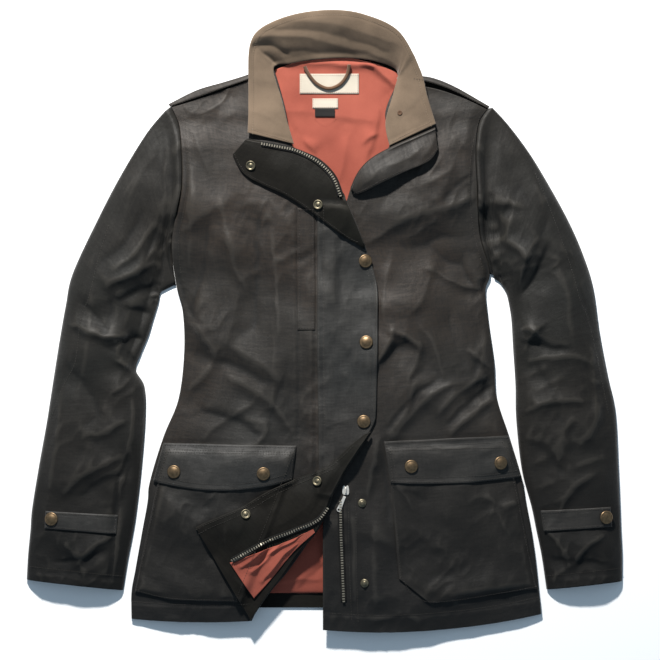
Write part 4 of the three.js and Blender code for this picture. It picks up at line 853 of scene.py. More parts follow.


# deep and warm tones, cool tone of painted sheen, shine, seed, how dark the painted shade goes towards
# the hem
WAXED, WAXED_FLAP, WAXED_POCKET, WAXED_SLEEVE_SHADED, FACING_SHADED = (
    waxed_cotton(name, colour(*deep), colour(*warm), colour(*cool_sheen), shine, seed, hem_shade)
    for name, deep, warm, cool_sheen, shine, seed, hem_shade in (
        ("waxed_cotton", (35, 31, 26), (43, 35, 28), (31, 31, 28), 0.28, 0, 0.95),
        ("waxed_flap", (39, 38, 35), (42, 39, 35), (40, 41, 40), 0.34, 7, 0.5),
        ("waxed_pocket", (35, 32, 28), (38, 34, 29), (33, 33, 31), 0.24, 9, 0.65),
        # the sleeves: a darker copy of the waxed cotton, painted shade
        ("waxed_sleeve_shaded", (28, 27, 24), (32, 29, 25), (27, 28, 26), 0.19, 5, 1.0),
        # the facing: darker still, partly its own cloth and partly painted shade
        ("facing_cloth", (21, 21, 17), (25, 23, 19), (20, 21, 19), 0.08, 3, 0.0)))
COLLAR_CLOTH = brushed_cloth("collar_cloth", colour(116, 99, 82), colour(82, 69, 56), 0.7)
LINING_CLOTH = brushed_cloth("lining_cloth", colour(160, 85, 69), colour(132, 65, 52), 0.5, 0.12, 2, 0.1)
LOOP_CLOTH = brushed_cloth("loop_cloth", colour(104, 78, 58), colour(70, 52, 40), 0.6)
LABEL_CLOTH = brushed_cloth("label_cloth", colour(192, 183, 168), colour(176, 166, 150), 0.45, 0.08)
LABEL_BLACK = brushed_cloth("label_black", colour(38, 36, 35), colour(26, 25, 25), 0.45, 0.08)
TAPE_CLOTH = brushed_cloth("zip_tape", colour(20, 20, 19), colour(13, 13, 12), 0.6, sheen=0.0)
THREAD = brushed_cloth("thread", colour(66, 60, 53), colour(46, 43, 39), 0.4)
COLLAR_THREAD = brushed_cloth("collar_thread", colour(150, 132, 112), colour(108, 94, 78), 0.4)
BRONZE = metal("snap_bronze", colour(130, 108, 82), colour(74, 60, 45), 0.42)
BRASS = metal("snap_brass", colour(120, 112, 92), colour(66, 60, 48), 0.4, 2, 0.8)
TEETH = metal("zip_teeth", colour(150, 143, 128), colour(104, 98, 86), 0.45, 3, 0.5)
NICKEL = metal("slider_nickel", colour(216, 212, 204), colour(170, 166, 158), 0.38, 5, 0.5)

# back panel


def outline_piece(name, outline, thickness, material):
    """A level piece on the table, from its plan outline."""
    bm = bmesh.new()
    face = bm.faces.new([bm.verts.new((x * MM, y * MM, 0)) for x, y in outline])
    bmesh.ops.triangulate(bm, faces=[face])
    grown = bmesh.ops.extrude_face_region(bm, geom=bm.faces[:])
    top = [e for e in grown["geom"] if isinstance(e, bmesh.types.BMVert)]
    bmesh.ops.translate(bm, verts=top, vec=(0, 0, thickness * MM))
    bmesh.ops.recalc_face_normals(bm, faces=bm.faces)
    mesh = bpy.data.meshes.new(name)
    bm.to_mesh(mesh)
    bm.free()
    layer = mesh.uv_layers.new(name="cloth")
    for loop in mesh.loops:
        co = mesh.vertices[loop.vertex_index].co
        layer.data[loop.index].uv = (co.x, co.y)
    wear_and_shade = mesh.attributes.new("wear_and_shade", "FLOAT", "POINT")
    wear_and_shade.data.foreach_set("value", [0.5] * len(mesh.vertices))
    mesh.materials.append(material)
    in_scene(name, mesh)


def side_line(rows):
    """Points close together down a front's side edge."""
    t = np.linspace(0, len(rows) - 1, (len(rows) - 1) * 6 + 1)
    return [tuple(p) for p in smooth_points(column(rows, 0), t)]


back_outline = (
    side_line(RIGHT_FRONT)
    + [(-192.5, 272), (-161, 290), (-128, 300), (-96, 310), (-70, 320.5)]
    + [(-43, 329), (-12, 334), (26, 335.5), (62, 332), (88, 320)]
    + [(98, 307.5), (114, 308.5), (137, 305.5), (166, 293.5), (204.5, 269)]
    + side_line(LEFT_FRONT)[::-1]
    + [(206, -364), (120, -358), (0, -358), (-84, -358), (-160, -364)]
)
outline_piece("back_panel", back_outline, CLOTH, FACING_SHADED)
flat_x, flat_y = np.meshgrid(np.arange(-240, 271, 2.0), np.arange(-364, 326, 2.0))
inside = (flat_x > edge_at(RIGHT_FRONT, flat_y)) & (flat_x < edge_at(LEFT_FRONT, flat_y))
laid.add(flat_x, flat_y, np.where(inside, CLOTH, 0.0))

# linings


def lining(name, table, creases, relief, thickness, seed, step=2.0, lift=0.0, billow=0.0):
    """Thin cloth laid between the two lines of a table, raised at the top or in the middle."""
    x, y, t, s = between(table["left"], table["right"], step, step)
    along = t[:, None] / t[-1]
    y = y + table["crown"] * along ** 2 * hump(s)
    z = laid.top(x, y, 2, 2) + SEAM_GAP + thickness
    z = z + crease_lift(x, y, creases, seed) * relief + noise(x, y, 30, seed) * 0.5 * relief
    z = z + lift * along ** 3 + billow * hump(s) ** 0.7 * np.sin(math.pi * along) ** 0.5
    z = np.maximum(z, laid.top(x, y, 1) + SEAM_GAP + thickness)
    lay(name, x, y, z, thickness, LINING_CLOTH)


lining("lining_neck", NECK_LINING, LINING_CREASES, 1.9, LINING, 11, lift=1.5)
lining("lining_hem", HEM_LINING, HEM_LINING_CREASES, 1.6, LINING, 13, billow=7.0)

# fronts


def body_height(x, y):
    """Height of the fronts' inner side: an arch across the body with its broad folds."""
    left, right = edge_at(RIGHT_FRONT, y), edge_at(LEFT_FRONT, y)
    s = (x - left) / (right - left)
    within = np.minimum(1, 5 * np.maximum(0, inward(s)))
    return (level(BODY_RISE, 1, y) + level(BODY_RISE, 2, y) * arch(s)
            + fold_lift(x, y, BODY_FOLDS) * within)


def overlap_lift(x):
    """Rise of the right front where it lies on the left one."""
    return (CLOTH + GAP + 0.25) * eased(np.clip((x + 34) / 26, 0, 1))


FLAP_SEAM = [(-13, 150), (-13, -190)]
WAIST_PUCKERS = [(-200, -150), (-36, -151)]
WAIST_PUCKERS_LEFT = [(74, -148), (228, -140)]
WELT_SEAM = [(-34, 142), (-34, -10), (-33, -60), (-34, -148)]
ARMHOLES = {
    "front_right": [(-186, 126), (-190, 96), (-187, 60), (-182, 30)],
    "sleeve_right": [(-192, 128), (-198, 98), (-204, 62), (-210, 34)],
    "front_left": [(196, 146), (198, 112), (206, 66), (201, 40)],
    "sleeve_left": [(206, 150), (210, 118), (216, 76), (220, 50)],
}


def front(name, rows, on_top, seed, seams):
    """One front, creased, with its seams, crushed armhole and hem band."""
    x, y, t, s = between(column(rows, 0), column(rows, 1), bows=column(rows, 2))
    z = body_height(x, y) + CLOTH + (overlap_lift(x) if on_top else 0)
    away = np.minimum(s, 1 - s)[None] * np.hypot(x[:, -1] - x[:, 0], y[:, -1] - y[:, 0])[:, None]
    calm = eased(np.clip(away / 16, 0, 1))
    relief = crease_lift(x, y, BODY_CREASES, seed) * 2.2 + crumple(x, y, seed)
    z = z + relief * (0.15 + 0.85 * calm)
    for path, depth, pucker in seams:
        z = z + seam_lift(x, y, path, 1.8, depth, pucker, seed=seed)
    z = z + crinkle(x, y, ARMHOLES[name], 7, seed + 20)
    z = z + 0.7 * eased(np.clip((HEM_DEPTH - np.abs(y - y[:1])) / 3, 0, 1))
    z = np.maximum(z, level(BODY_RISE, 1, y) + CLOTH + 0.1)
    lay(name, x, y, z, CLOTH, WAXED)


front("front_left", LEFT_FRONT, False, 21, [
    ([(30, -222), (33, -300), (35, -372)], 0.8, 0.15), (WAIST_PUCKERS_LEFT, 0.5, 0.3),
    ([(198, 256), (186, 205), (182, 150), (190, 108)], 0.5, 0.15)])
front("front_right", RIGHT_FRONT, True, 31, [
    (FLAP_SEAM, 0.9, 0.3), (WAIST_PUCKERS, 0.5, 0.3), (WELT_SEAM, 0.8, 0.2),
    ([(-184, 258), (-174, 215), (-173, 165), (-184, 104)], 0.5, 0.15)])

# sleeves


def sleeve(name, rows, body_rows, creases, seed, seam):
    """Flattened tube: a soft creased top, a level underside, open at both ends."""
    steps = 12
    t_body = len(body_rows) - 1 - np.arange(steps + 1) / 2
    hole = smooth_points(column(body_rows, 0), t_body)
    around = 60
    i = np.linspace(0, steps, around + 1)
    hole_fine = smooth_points(hole, i)
    even = 0.5 - 0.5 * np.cos(math.pi * i / steps)
    out = math.copysign(1, rows[5][0][0])
    rings = 250
    t = np.linspace(0, len(rows) - 1, rings)
    outer, inner = smooth_points(column(rows, 0), t), smooth_points(column(rows, 1), t)
    top = smooth(column(rows, 2), t)
    pull = np.maximum(0, smooth(ARMHOLE_PULL, t))[:, None]
    first, last = hole[0], hole[-1]
    s0 = (hole_fine[:, 1] - first[1]) / (last[1] - first[1])
    s = (even * 0.65 + i / steps * 0.35)[None] * (1 - pull) + s0[None] * pull
    x = outer[:, :1] + (inner - outer)[:, :1] * s
    y = outer[:, 1:] + (inner - outer)[:, 1:] * s
    x = x + pull * (hole_fine[:, 0] - (first[0] + (last[0] - first[0]) * s0))[None]
    y = y + pull * (hole_fine[:, 1] - (first[1] + (last[1] - first[1]) * s0))[None]
    edge_high = SLEEVE_LOW + 0.4
    rise = edge_high + np.maximum(0, top[:, None] - edge_high) * arch(s)
    joined = body_height(hole_fine[:, 0], hole_fine[:, 1]) + CLOTH
    blend = np.clip(t / 1.0, 0, 1)[:, None]
    rise = np.maximum(SLEEVE_LOW, joined)[None] * (1 - blend) + rise * blend
    x[0], y[0] = hole_fine[:, 0] + out * 0.4, hole_fine[:, 1]
    calm = np.clip(inward(s) * 9, 0, 1)
    relief = crease_lift(x, y, creases, seed) * 2.0 + crumple(x, y, seed, 0.8)
    relief += seam_lift(x, y, seam, 2.0, 0.35, 0.1, seed=seed)
    crushed = crinkle(x, y, ARMHOLES[name], 11, seed + 20, 3.4, 3.6)
    z = np.maximum(rise + relief * calm + crushed * np.clip(inward(s) * 40, 0, 1), SLEEVE_LOW)
    cuff = np.clip((t - (len(rows) - 1) + 0.42) / 0.06, 0, 1)[:, None]
    z = z + 0.5 * cuff * calm
    laid.add(x, y, z)
    top_points = np.stack([x, y, z], -1)
    low_points = np.stack([x, y, np.zeros_like(z)], -1)[:, ::-1][:, 1:-1]
    ring = np.concatenate([top_points, low_points], 1)
    ring[:, [0, around], 2] = SLEEVE_RIM
    direction = (top_points[:, -1] - top_points[:, 0])[:, :2]
    direction /= np.linalg.norm(direction, axis=1, keepdims=True)
    ring[:, 0, :2] -= direction * 1.6
    ring[:, around, :2] += direction * 1.6
    core = ring.copy()
    core[:, 1:around, 2] -= SLEEVE_WALL
    core[:, around + 1:, 2] += SLEEVE_WALL
    core[:, 0, :2] += direction * 2.8
    core[:, around, :2] -= direction * 2.8
    core[:, 1:3, :2] += direction[:, None] * 0.7
    core[:, -2:, :2] += direction[:, None] * 0.7
    core[:, around - 2:around + 3, :2] -= direction[:, None] * 0.6
    count = ring.shape[1]
    k = np.arange(rings * count).reshape(rings, count)
    m = k + rings * count
    nxt = np.roll(np.arange(count), -1)
    faces = np.concatenate([
        np.stack([k[:-1], k[:-1][:, nxt], k[1:][:, nxt], k[1:]], -1).reshape(-1, 4),
        np.stack([m[:-1], m[1:], m[1:][:, nxt], m[:-1][:, nxt]], -1).reshape(-1, 4),
        np.stack([k[0][nxt], k[0], m[0], m[0][nxt]], -1),
        np.stack([k[-1], k[-1][nxt], m[-1][nxt], m[-1]], -1)])
    if out < 0:
        faces = faces[:, ::-1].copy()
    run = np.cumsum(np.concatenate([[0], np.hypot(*np.diff((outer + inner) / 2, axis=0).T)]))
    wide = np.linalg.norm(inner - outer, axis=1)[:, None] * s
    u = np.concatenate([wide, 2 * wide.max(1, keepdims=True) - wide[:, ::-1][:, 1:-1]], 1)
    uv = np.stack([u, np.repeat(run[:, None], count, 1)], -1).reshape(-1, 2) * MM
    level_side = np.full((rings, count - around - 1), 0.5)
    wear_and_shade = np.concatenate([ridge_wear_and_hollow_shade(top_points), level_side], 1).ravel()
    points = np.concatenate([ring.reshape(-1, 3), core.reshape(-1, 3)])
    make_object(name, points, faces, WAXED_SLEEVE_SHADED, np.concatenate([uv, uv]),
                np.concatenate([wear_and_shade, wear_and_shade]))


RIGHT_SLEEVE_SEAM = [(-273, 121), (-286, 78), (-297, 32), (-307, 6), (-314, -48), (-328, -76),
                     (-347, -122)]
LEFT_SLEEVE_SEAM = [(267, 186), (289, 132), (311, 69), (322, 29), (332, 6), (343, -39),
                    (358, -112)]
sleeve("sleeve_right", RIGHT_SLEEVE, RIGHT_FRONT, RIGHT_SLEEVE_CREASES, 41, RIGHT_SLEEVE_SEAM)
sleeve("sleeve_left", LEFT_SLEEVE, LEFT_FRONT, LEFT_SLEEVE_CREASES, 51, LEFT_SLEEVE_SEAM)

# yoke strips and collar


def yoke(name, rows, seed):
    """Strip of the back that shows along a shoulder, from the front's edge down to the table."""
    x, y, t, s = between(column(rows, 0), column(rows, 1), 1.2, 2.2)
    high = body_height(x[:, :1], y[:, :1])
    z = high + (CLOTH + SEAM_GAP - high) * s[None] ** 2.2 + TRIM
    z = z + noise(x, y, 14, seed) * 0.25 * (1 - s)
    lay(name, x, y, z, TRIM, WAXED)


yoke("yoke_right", RIGHT_YOKE, 3)
yoke("yoke_left", LEFT_YOKE, 4)


def collar_sheet():
    """Opened collar: from its seam up to a rounded rim, with a line of stitches inside it."""
    x, y, t, s = between(column(COLLAR, 0), column(COLLAR, 1), 1.8, 2.0)
    seam = laid.top(x[:, :1], y[:, :1], 4) + 0.6
    rim = smooth(column(COLLAR, 2), t)[:, None]
    z = seam + (rim - seam) * (0.25 * s + 0.75 * np.sin(s * math.pi / 2))[None]
    z = np.maximum(z, laid.top(x, y, 3, 2) + GAP) + COLLAR_THICK
    quiet = np.clip(inward(s) * 8, 0, 1)[None]
    z = z + crease_lift(x, y, COLLAR_CREASES, 61) * quiet + noise(x, y, 22, 62) * 0.35 * quiet
    wide = np.hypot(x[:, -1] - x[:, 0], y[:, -1] - y[:, 0])[:, None]
    edge = np.minimum((1 - s)[None] * wide, np.minimum(t, t[-1] - t)[:, None] * 26)
    z = z - 0.3 * np.exp(-((edge - 7.5) / 1.6) ** 2)
    lay("collar", x, y, z, COLLAR_THICK, COLLAR_CLOTH)


collar_sheet()

# pieces laid on the fronts


def panel_grid(name, step):
    """Plan grid of a laid panel, rows from its lower edge up and columns across."""
    (a, b), low_edge, sag = PANELS[name]
    a, b = np.array(a, float), np.array(b, float)
    share, low_x, low_y = (np.array(values, float) for values in zip(*low_edge))
    wide = max(math.dist(a, b), math.dist(low_edge[0][1:], low_edge[-1][1:]))
    tall = max(math.dist(a, low_edge[0][1:]), math.dist(b, low_edge[-1][1:]))
    s, r = spread(wide, step), spread(tall, step)
    top = a + (b - a) * s[:, None]
    low = np.column_stack([np.interp(s, share, low_x), np.interp(s, share, low_y)])
    low[:, 1] -= sag * hump(s)
    grid = low[None] + (top - low)[None] * r[:, None, None]
    return grid[..., 0], grid[..., 1], s, r, wide, tall


def laid_piece(name, material, thickness, creases=(), bulge=0.0, ripple=0.3, seed=1, blur=2,
               step=2.2, gap=GAP, hem=0.0, dents=0.0, floor_gap=0.3):
    """A panel sewn on: it follows what it lies on, fuller in the middle, with a stitched edge."""
    x, y, s, r, wide, tall = panel_grid(name, step)
    z = laid.top(x, y, 2, blur) + gap + thickness
    edge = np.minimum((inward(s) * wide)[None], (inward(r) * tall)[:, None])
    soft = np.clip(edge / 14, 0, 1)
    z = z + bulge * soft * (2 - soft)
    relief = crease_lift(x, y, creases, seed) + crumple(x, y, seed) * dents
    z = z + relief * np.clip(edge / 8, 0, 1)
    z = z + noise(x, y, 17, seed) * ripple + noise(x, y, 8, seed + 1) * ripple * 0.4
    if hem:
        z = z - 0.16 * np.exp(-((edge - hem) / 1.3) ** 2)
    z = np.maximum(z, laid.top(x, y, 1) + floor_gap + thickness * 0.6)
    lay(name, x, y, z, thickness, material)


for pocket, fullness, seed in (("pocket_right", 1.6, 71), ("pocket_left", 1.8, 73)):
    laid_piece(pocket, WAXED_POCKET, POCKET_THICK, POCKET_CREASES, fullness, 0.3, seed, 3, hem=5,
               dents=0.9)
for flap, seed in (("pocket_flap_right", 75), ("pocket_flap_left", 77)):
    laid_piece(flap, WAXED_FLAP, TRIM, (), 0.15, 0.3, seed, 4, hem=6, dents=0.6)
laid_piece("chest_welt", WAXED, WELT_THICK, (), 0.0, 0.1, 79, 1, gap=0.05, hem=4, floor_gap=0.05)


def storm():
    """The storm flap, with its seam and its stitched free edge."""
    x, y, t, s = between(column(STORM_FLAP, 0), column(STORM_FLAP, 1), 2.0, 2.2)
    rise = smooth(column(STORM_FLAP, 2), t)[:, None]
    z = laid.top(x, y, 3, 3) + GAP + TURNED + rise * 0.5 * s
    z = z + crumple(x, y, 81, 0.55) * np.clip(inward(s) * 6, 0, 1) + noise(x, y, 14, 82) * 0.2
    z = z + seam_lift(x, y, [(ax + 5, ay) for ax, ay in column(STORM_FLAP, 0)], 1.6, 0.5, 0.3, 9, 83)
    z = z - 0.16 * np.exp(-((((1 - s) * 74)[None] - 6) / 1.3) ** 2)
    z = np.maximum(z, laid.top(x, y, 1) + 0.3 + TURNED)
    lay("storm_flap", x, y, z, TURNED, WAXED_FLAP)


storm()


def turned_back(name, rows, radius, seed, material, creases=(), raised=0.0, settle=0.0,
                step=2.0, ripple=0.4):
    """A half-round roll at the fold, then the sheet out to its free edge, inside out."""
    x, y, t, s = between(column(rows, 0), column(rows, 1), step, step)
    first = np.stack([x[:, 0], y[:, 0]], -1)
    last = np.stack([x[:, -1], y[:, -1]], -1)
    length = np.maximum(np.linalg.norm(last - first, axis=1), 1e-6)
    roll = np.minimum(radius * (1 - settle * t / t[-1]), length * 0.3)
    turns = np.linspace(0.2, 0.9, 9)
    out = [roll * (1 - np.sin(math.pi * turn)) for turn in turns]
    far = np.concatenate([[0], s[s * length.max() > 0.5]])
    out += [roll + (length - roll) * f for f in far]
    d = np.stack(out, 1) / length[:, None]
    px = first[:, :1] + (last - first)[:, :1] * d
    py = first[:, 1:] + (last - first)[:, 1:] * d
    rise = smooth(column(rows, 2), t)[:, None]
    k = len(turns)
    gx, gy = px[:, k:], py[:, k:]
    z = laid.top(gx, gy, 3, 2) + GAP + TURNED
    z = np.maximum(z, laid.top(gx, gy, 1) + 0.3 + TURNED)
    span = np.minimum(1.0, far)[None]
    extra = roll[:, None] * 1.8 * (1 - span ** 0.8) + rise * 0.6 * np.sin(math.pi * span)
    extra = extra + raised * np.sin(math.pi * np.clip(t / t[-1], 0, 1))[:, None] ** 0.6 * span ** 1.3
    relief = crease_lift(gx, gy, creases, seed) + noise(gx, gy, 20, seed) * ripple
    flat = z + extra + relief * np.clip(span * 5, 0, 1)
    start = z[:, :1] - TURNED
    heights = np.stack([start[:, 0] + roll * 0.9 * (1 - np.cos(math.pi * turn)) for turn in turns], 1)
    lift = (flat[:, :1] - heights[:, -1:]) * np.linspace(0, 0.9, k)[None] ** 2
    heights = np.maximum(heights + lift, laid.top(px[:, :k], py[:, :k], 1) + 0.3)
    pz = np.concatenate([heights, flat], 1)
    lay(name, px, py, pz, TURNED, material)


turned_back("lapel_right", RIGHT_LAPEL, FOLD_RADIUS - 1.2, 91, FACING_SHADED, (), 2.0)
turned_back("lapel_left", LEFT_LAPEL, FOLD_RADIUS - 1.2, 93, WAXED, LAPEL_CREASES, 9.0)
turned_back("turned_corner", CORNER, FOLD_RADIUS, 95, FACING_SHADED, CORNER_CREASES, 1.5, 0.6)
lining("lining_front", CORNER_LINING, GATHERS, 1.9, 0.8, 97, 1.3)

# labels, loop, cuff tabs
laid_piece("label_main", LABEL_CLOTH, LABEL_THICK, (), 0.1, 0.1, 101, 3, 1.6, 0.4)
laid_piece("label_small", LABEL_CLOTH, LABEL_THICK, (), 0.1, 0.08, 103, 2, 1.4, 0.4)
laid_piece("label_tab", LABEL_BLACK, LABEL_THICK, (), 0.1, 0.08, 105, 2, 1.4, 0.4)
laid_piece("cuff_tab_right", WAXED_FLAP, TRIM, (), 0.4, 0.3, 107, 2, 1.8, hem=4)
laid_piece("cuff_tab_left", WAXED_FLAP, TRIM, (), 0.4, 0.3, 109, 2, 1.8, hem=4)


def tube(name, path, radius, material, steps=90, flatten=0.8):
    """A closed round piece along a smooth path, lower than it is wide where flattened."""
    around = 14
    t = np.linspace(0, len(path) - 1, steps)
    c = smooth_points(path, t)
    tangent = np.gradient(c, axis=0)
    tangent /= np.linalg.norm(tangent, axis=1, keepdims=True)
    side = np.cross(tangent, [0, 0, 1.0])
    side /= np.linalg.norm(side, axis=1, keepdims=True)
    up = np.cross(side, tangent)
    angle = np.linspace(0, 2 * math.pi, around, endpoint=False)
    ring = (c[:, None] + radius * np.cos(angle)[None, :, None] * side[:, None]
            + radius * flatten * np.sin(angle)[None, :, None] * up[:, None])
    points = np.concatenate([ring.reshape(-1, 3), c[:1], c[-1:]])
    k = np.arange(steps * around).reshape(steps, around)
    nxt = np.roll(np.arange(around), -1)
    sides = np.stack([k[:-1], k[1:], k[1:][:, nxt], k[:-1][:, nxt]], -1).reshape(-1, 4)
    end = steps * around
    faces = [*sides]
    faces += [[end, k[0][i], k[0][nxt[i]]] for i in range(around)]
    faces += [[end + 1, k[-1][nxt[i]], k[-1][i]] for i in range(around)]
    uv = np.concatenate([np.stack([np.repeat(angle[None], steps, 0) * radius,
                                   np.repeat(t[:, None], around, 1) * 20], -1).reshape(-1, 2),
                         np.zeros((2, 2))]) * MM
    make_object(name, points, faces, material, uv, np.full(len(points), 0.5))


loop_points = np.array(LOOP_PATH, float)
loop_z = laid.top(loop_points[:, 0], loop_points[:, 1], 3) + LOOP_RADIUS * 0.8 + 0.4
loop_line = np.column_stack([loop_points, loop_z])
tube("hanger_loop", loop_line, LOOP_RADIUS, LOOP_CLOTH)
loop_run = (smooth_points(loop_line, np.linspace(0, len(loop_line) - 1, 60)) * MM).tolist()

# what is repeated: stitches, teeth


def on_cloth(path, step=2.0, up=0.2):
    """A plan path as points just above the cloth, close together."""
    pts = np.asarray(path, float)
    t = np.linspace(0, len(pts) - 1, 400)
    fine = smooth_points(pts, t)
    run = np.concatenate([[0], np.cumsum(np.hypot(*np.diff(fine, axis=0).T))])
    n = max(2, int(run[-1] / step) + 1)
    at = np.linspace(0, run[-1], n)
    x, y = np.interp(at, run, fine[:, 0]), np.interp(at, run, fine[:, 1])
    return np.column_stack([x, y, laid.top(x, y, 1) + up])


def repeat_tree(name):
    """Geometry nodes: copies of a small block set along the lines of a mesh."""
    tree = bpy.data.node_groups.new(name, "GeometryNodeTree")
    names = {}
    for label, kind in (("Geometry", "Geometry"), ("Pitch", "Float"), ("Length", "Float"),
                        ("Width", "Float"), ("Height", "Float"), ("Finish", "Material"),
                        ("Round", "Bool")):
        socket = tree.interface.new_socket(name=label, in_out="INPUT", socket_type="NodeSocket" + kind)
        names[label] = socket.identifier
    tree.interface.new_socket(name="Geometry", in_out="OUTPUT", socket_type="NodeSocketGeometry")

    def add(kind, **settings):
        node = tree.nodes.new(kind)
        for key, value in settings.items():
            setattr(node, key, value)
        return node
    given, end = add("NodeGroupInput").outputs, add("NodeGroupOutput")
    curve = add("GeometryNodeMeshToCurve")
    resample = add("GeometryNodeResampleCurve", mode="LENGTH")
    tangent = add("GeometryNodeInputTangent")
    turn = add("FunctionNodeAlignRotationToVector", axis="X")
    ball, block = add("GeometryNodeMeshIcoSphere"), add("GeometryNodeMeshCube")
    ball.inputs["Subdivisions"].default_value = 1
    ball.inputs["Radius"].default_value = 0.5
    pick = add("GeometryNodeSwitch", input_type="GEOMETRY")
    size = add("ShaderNodeCombineXYZ")
    place = add("GeometryNodeInstanceOnPoints")
    real, coat = add("GeometryNodeRealizeInstances"), add("GeometryNodeSetMaterial")
    for source, target in (
            (given["Geometry"], curve.inputs[0]), (curve.outputs[0], resample.inputs["Curve"]),
            (given["Pitch"], resample.inputs["Length"]), (resample.outputs[0], place.inputs["Points"]),
            (tangent.outputs[0], turn.inputs["Vector"]), (turn.outputs[0], place.inputs["Rotation"]),
            (given["Round"], pick.inputs["Switch"]), (block.outputs[0], pick.inputs["False"]),
            (ball.outputs[0], pick.inputs["True"]), (pick.outputs[0], place.inputs["Instance"]),
            (given["Length"], size.inputs[0]), (given["Width"], size.inputs[1]),
            (given["Height"], size.inputs[2]), (size.outputs[0], place.inputs["Scale"]),
            (place.outputs[0], real.inputs[0]), (real.outputs[0], coat.inputs["Geometry"]),
            (given["Finish"], coat.inputs["Material"]), (coat.outputs[0], end.inputs[0])):
        tree.links.new(source, target)
    return tree, names


REPEAT, REPEAT_INPUTS = repeat_tree("repeat_along_lines")
# pitch, length, width and height of one
TOOTH = (3.2, 1.5, 3.0, 1.3)
STITCH = (3.3, 2.3, 0.55, 0.5)
COLLAR_STITCH = (3.1, 2.2, 0.55, 0.5)
LABEL_STITCH = (2.6, 1.8, 0.45, 0.4)


def repeated(name, paths, size, finish, raised, step=1.6, round_ends=True):
    """One mesh of all the copies along some plan paths, set on the cloth."""
    points, edges = [], []
    for path in paths:
        k = len(points)
        points += [tuple(p) for p in on_cloth(path, step, raised) * MM]
        edges += [(i, i + 1) for i in range(k, len(points) - 1)]
    mesh = bpy.data.meshes.new(name + "_lines")
    mesh.from_pydata(points, edges, [])
    obj = bpy.data.objects.new(name + "_lines", mesh)
    bpy.context.scene.collection.objects.link(obj)
    modifier = obj.modifiers.new("repeat", "NODES")
    modifier.node_group = REPEAT
    for label, value in zip(("Pitch", "Length", "Width", "Height"), size):
        modifier[REPEAT_INPUTS[label]] = value * MM
    modifier[REPEAT_INPUTS["Finish"]] = finish
    modifier[REPEAT_INPUTS["Round"]] = round_ends
    depsgraph = bpy.context.evaluated_depsgraph_get()
    done = bpy.data.meshes.new_from_object(obj.evaluated_get(depsgraph))
    bpy.data.objects.remove(obj)
    done.name = name
    done.polygons.foreach_set("use_smooth", [round_ends] * len(done.polygons))
    in_scene(name, done)


def tape(name, path):
    """The woven tape of one stretch of zip."""
    line = on_cloth(path, 1.6, 0)
    side = np.gradient(line[:, :2], axis=0)
    side = np.column_stack([-side[:, 1], side[:, 0]]) / np.linalg.norm(side, axis=1)[:, None]
    s = np.array([-0.5, -0.42, -0.25, 0, 0.25, 0.42, 0.5]) * TAPE_WIDTH
    x = line[:, :1] + side[:, :1] * s
    y = line[:, 1:2] + side[:, 1:2] * s
    lay(name, x, y, laid.top(x, y, 1, 1) + 0.35 + TAPE_THICK, TAPE_THICK, TAPE_CLOTH)


ZIP_PATHS = {"zip_run_lapel": ZIP_LAPEL, "zip_run_corner": ZIP_CORNER, "zip_run_front": ZIP_FRONT}
for zip_name, path in ZIP_PATHS.items():
    tape(zip_name, path)
repeated("zip_teeth", ZIP_PATHS.values(), TOOTH, TEETH, 0.55, 1.0, False)


def inset(name, by):
    """Lines of stitches round a laid piece, drawn in from its edges."""
    (a, b), low_edge, sag = PANELS[name]
    low = [np.array(place[1:], float) for place in low_edge]
    if sag:
        low = [low[0] + (low[-1] - low[0]) * k - (0, sag * hump(k)) for k in (0, 0.25, 0.5, 0.75, 1)]
    middle = np.mean([a, b, low[0], low[-1]], axis=0)

    def drawn(point):
        return tuple(np.array(point) + by * np.sign(middle - np.array(point)))
    ends = (0, len(low) - 1)
    low = [(drawn(p)[0] if i in ends else p[0], p[1] + by) for i, p in enumerate(low)]
    a, b = drawn(a), drawn(b)
    return [[a, b], [b, low[-1]], low, [low[0], a]]


def beside(points, by):
    """The same line, moved sideways."""
    pts = np.asarray(points, float)
    g = np.gradient(pts, axis=0)
    n = np.column_stack([-g[:, 1], g[:, 0]]) / np.linalg.norm(g, axis=1)[:, None]
    return [tuple(p) for p in pts + n * by]


def edge_line(rows, side, by, start=0, end=None):
    """Line beside one edge of a row table, drawn in towards the other edge."""
    out = []
    for row in rows[start:end]:
        p, q = np.array(row[side], float), np.array(row[1 - side], float)
        gap = np.linalg.norm(q - p)
        out.append(tuple(p + (q - p) / max(gap, 1e-6) * min(by, gap * 0.4)))
    return out


def hem_line(rows, by):
    """Line across a front, a little above its hem."""
    a, b, bow = np.array(rows[0][0], float), np.array(rows[0][1], float), rows[0][2]
    return [a + (b - a) * k + (0, bow * hump(k) + by) for k in np.linspace(0.02, 0.98, 14)]


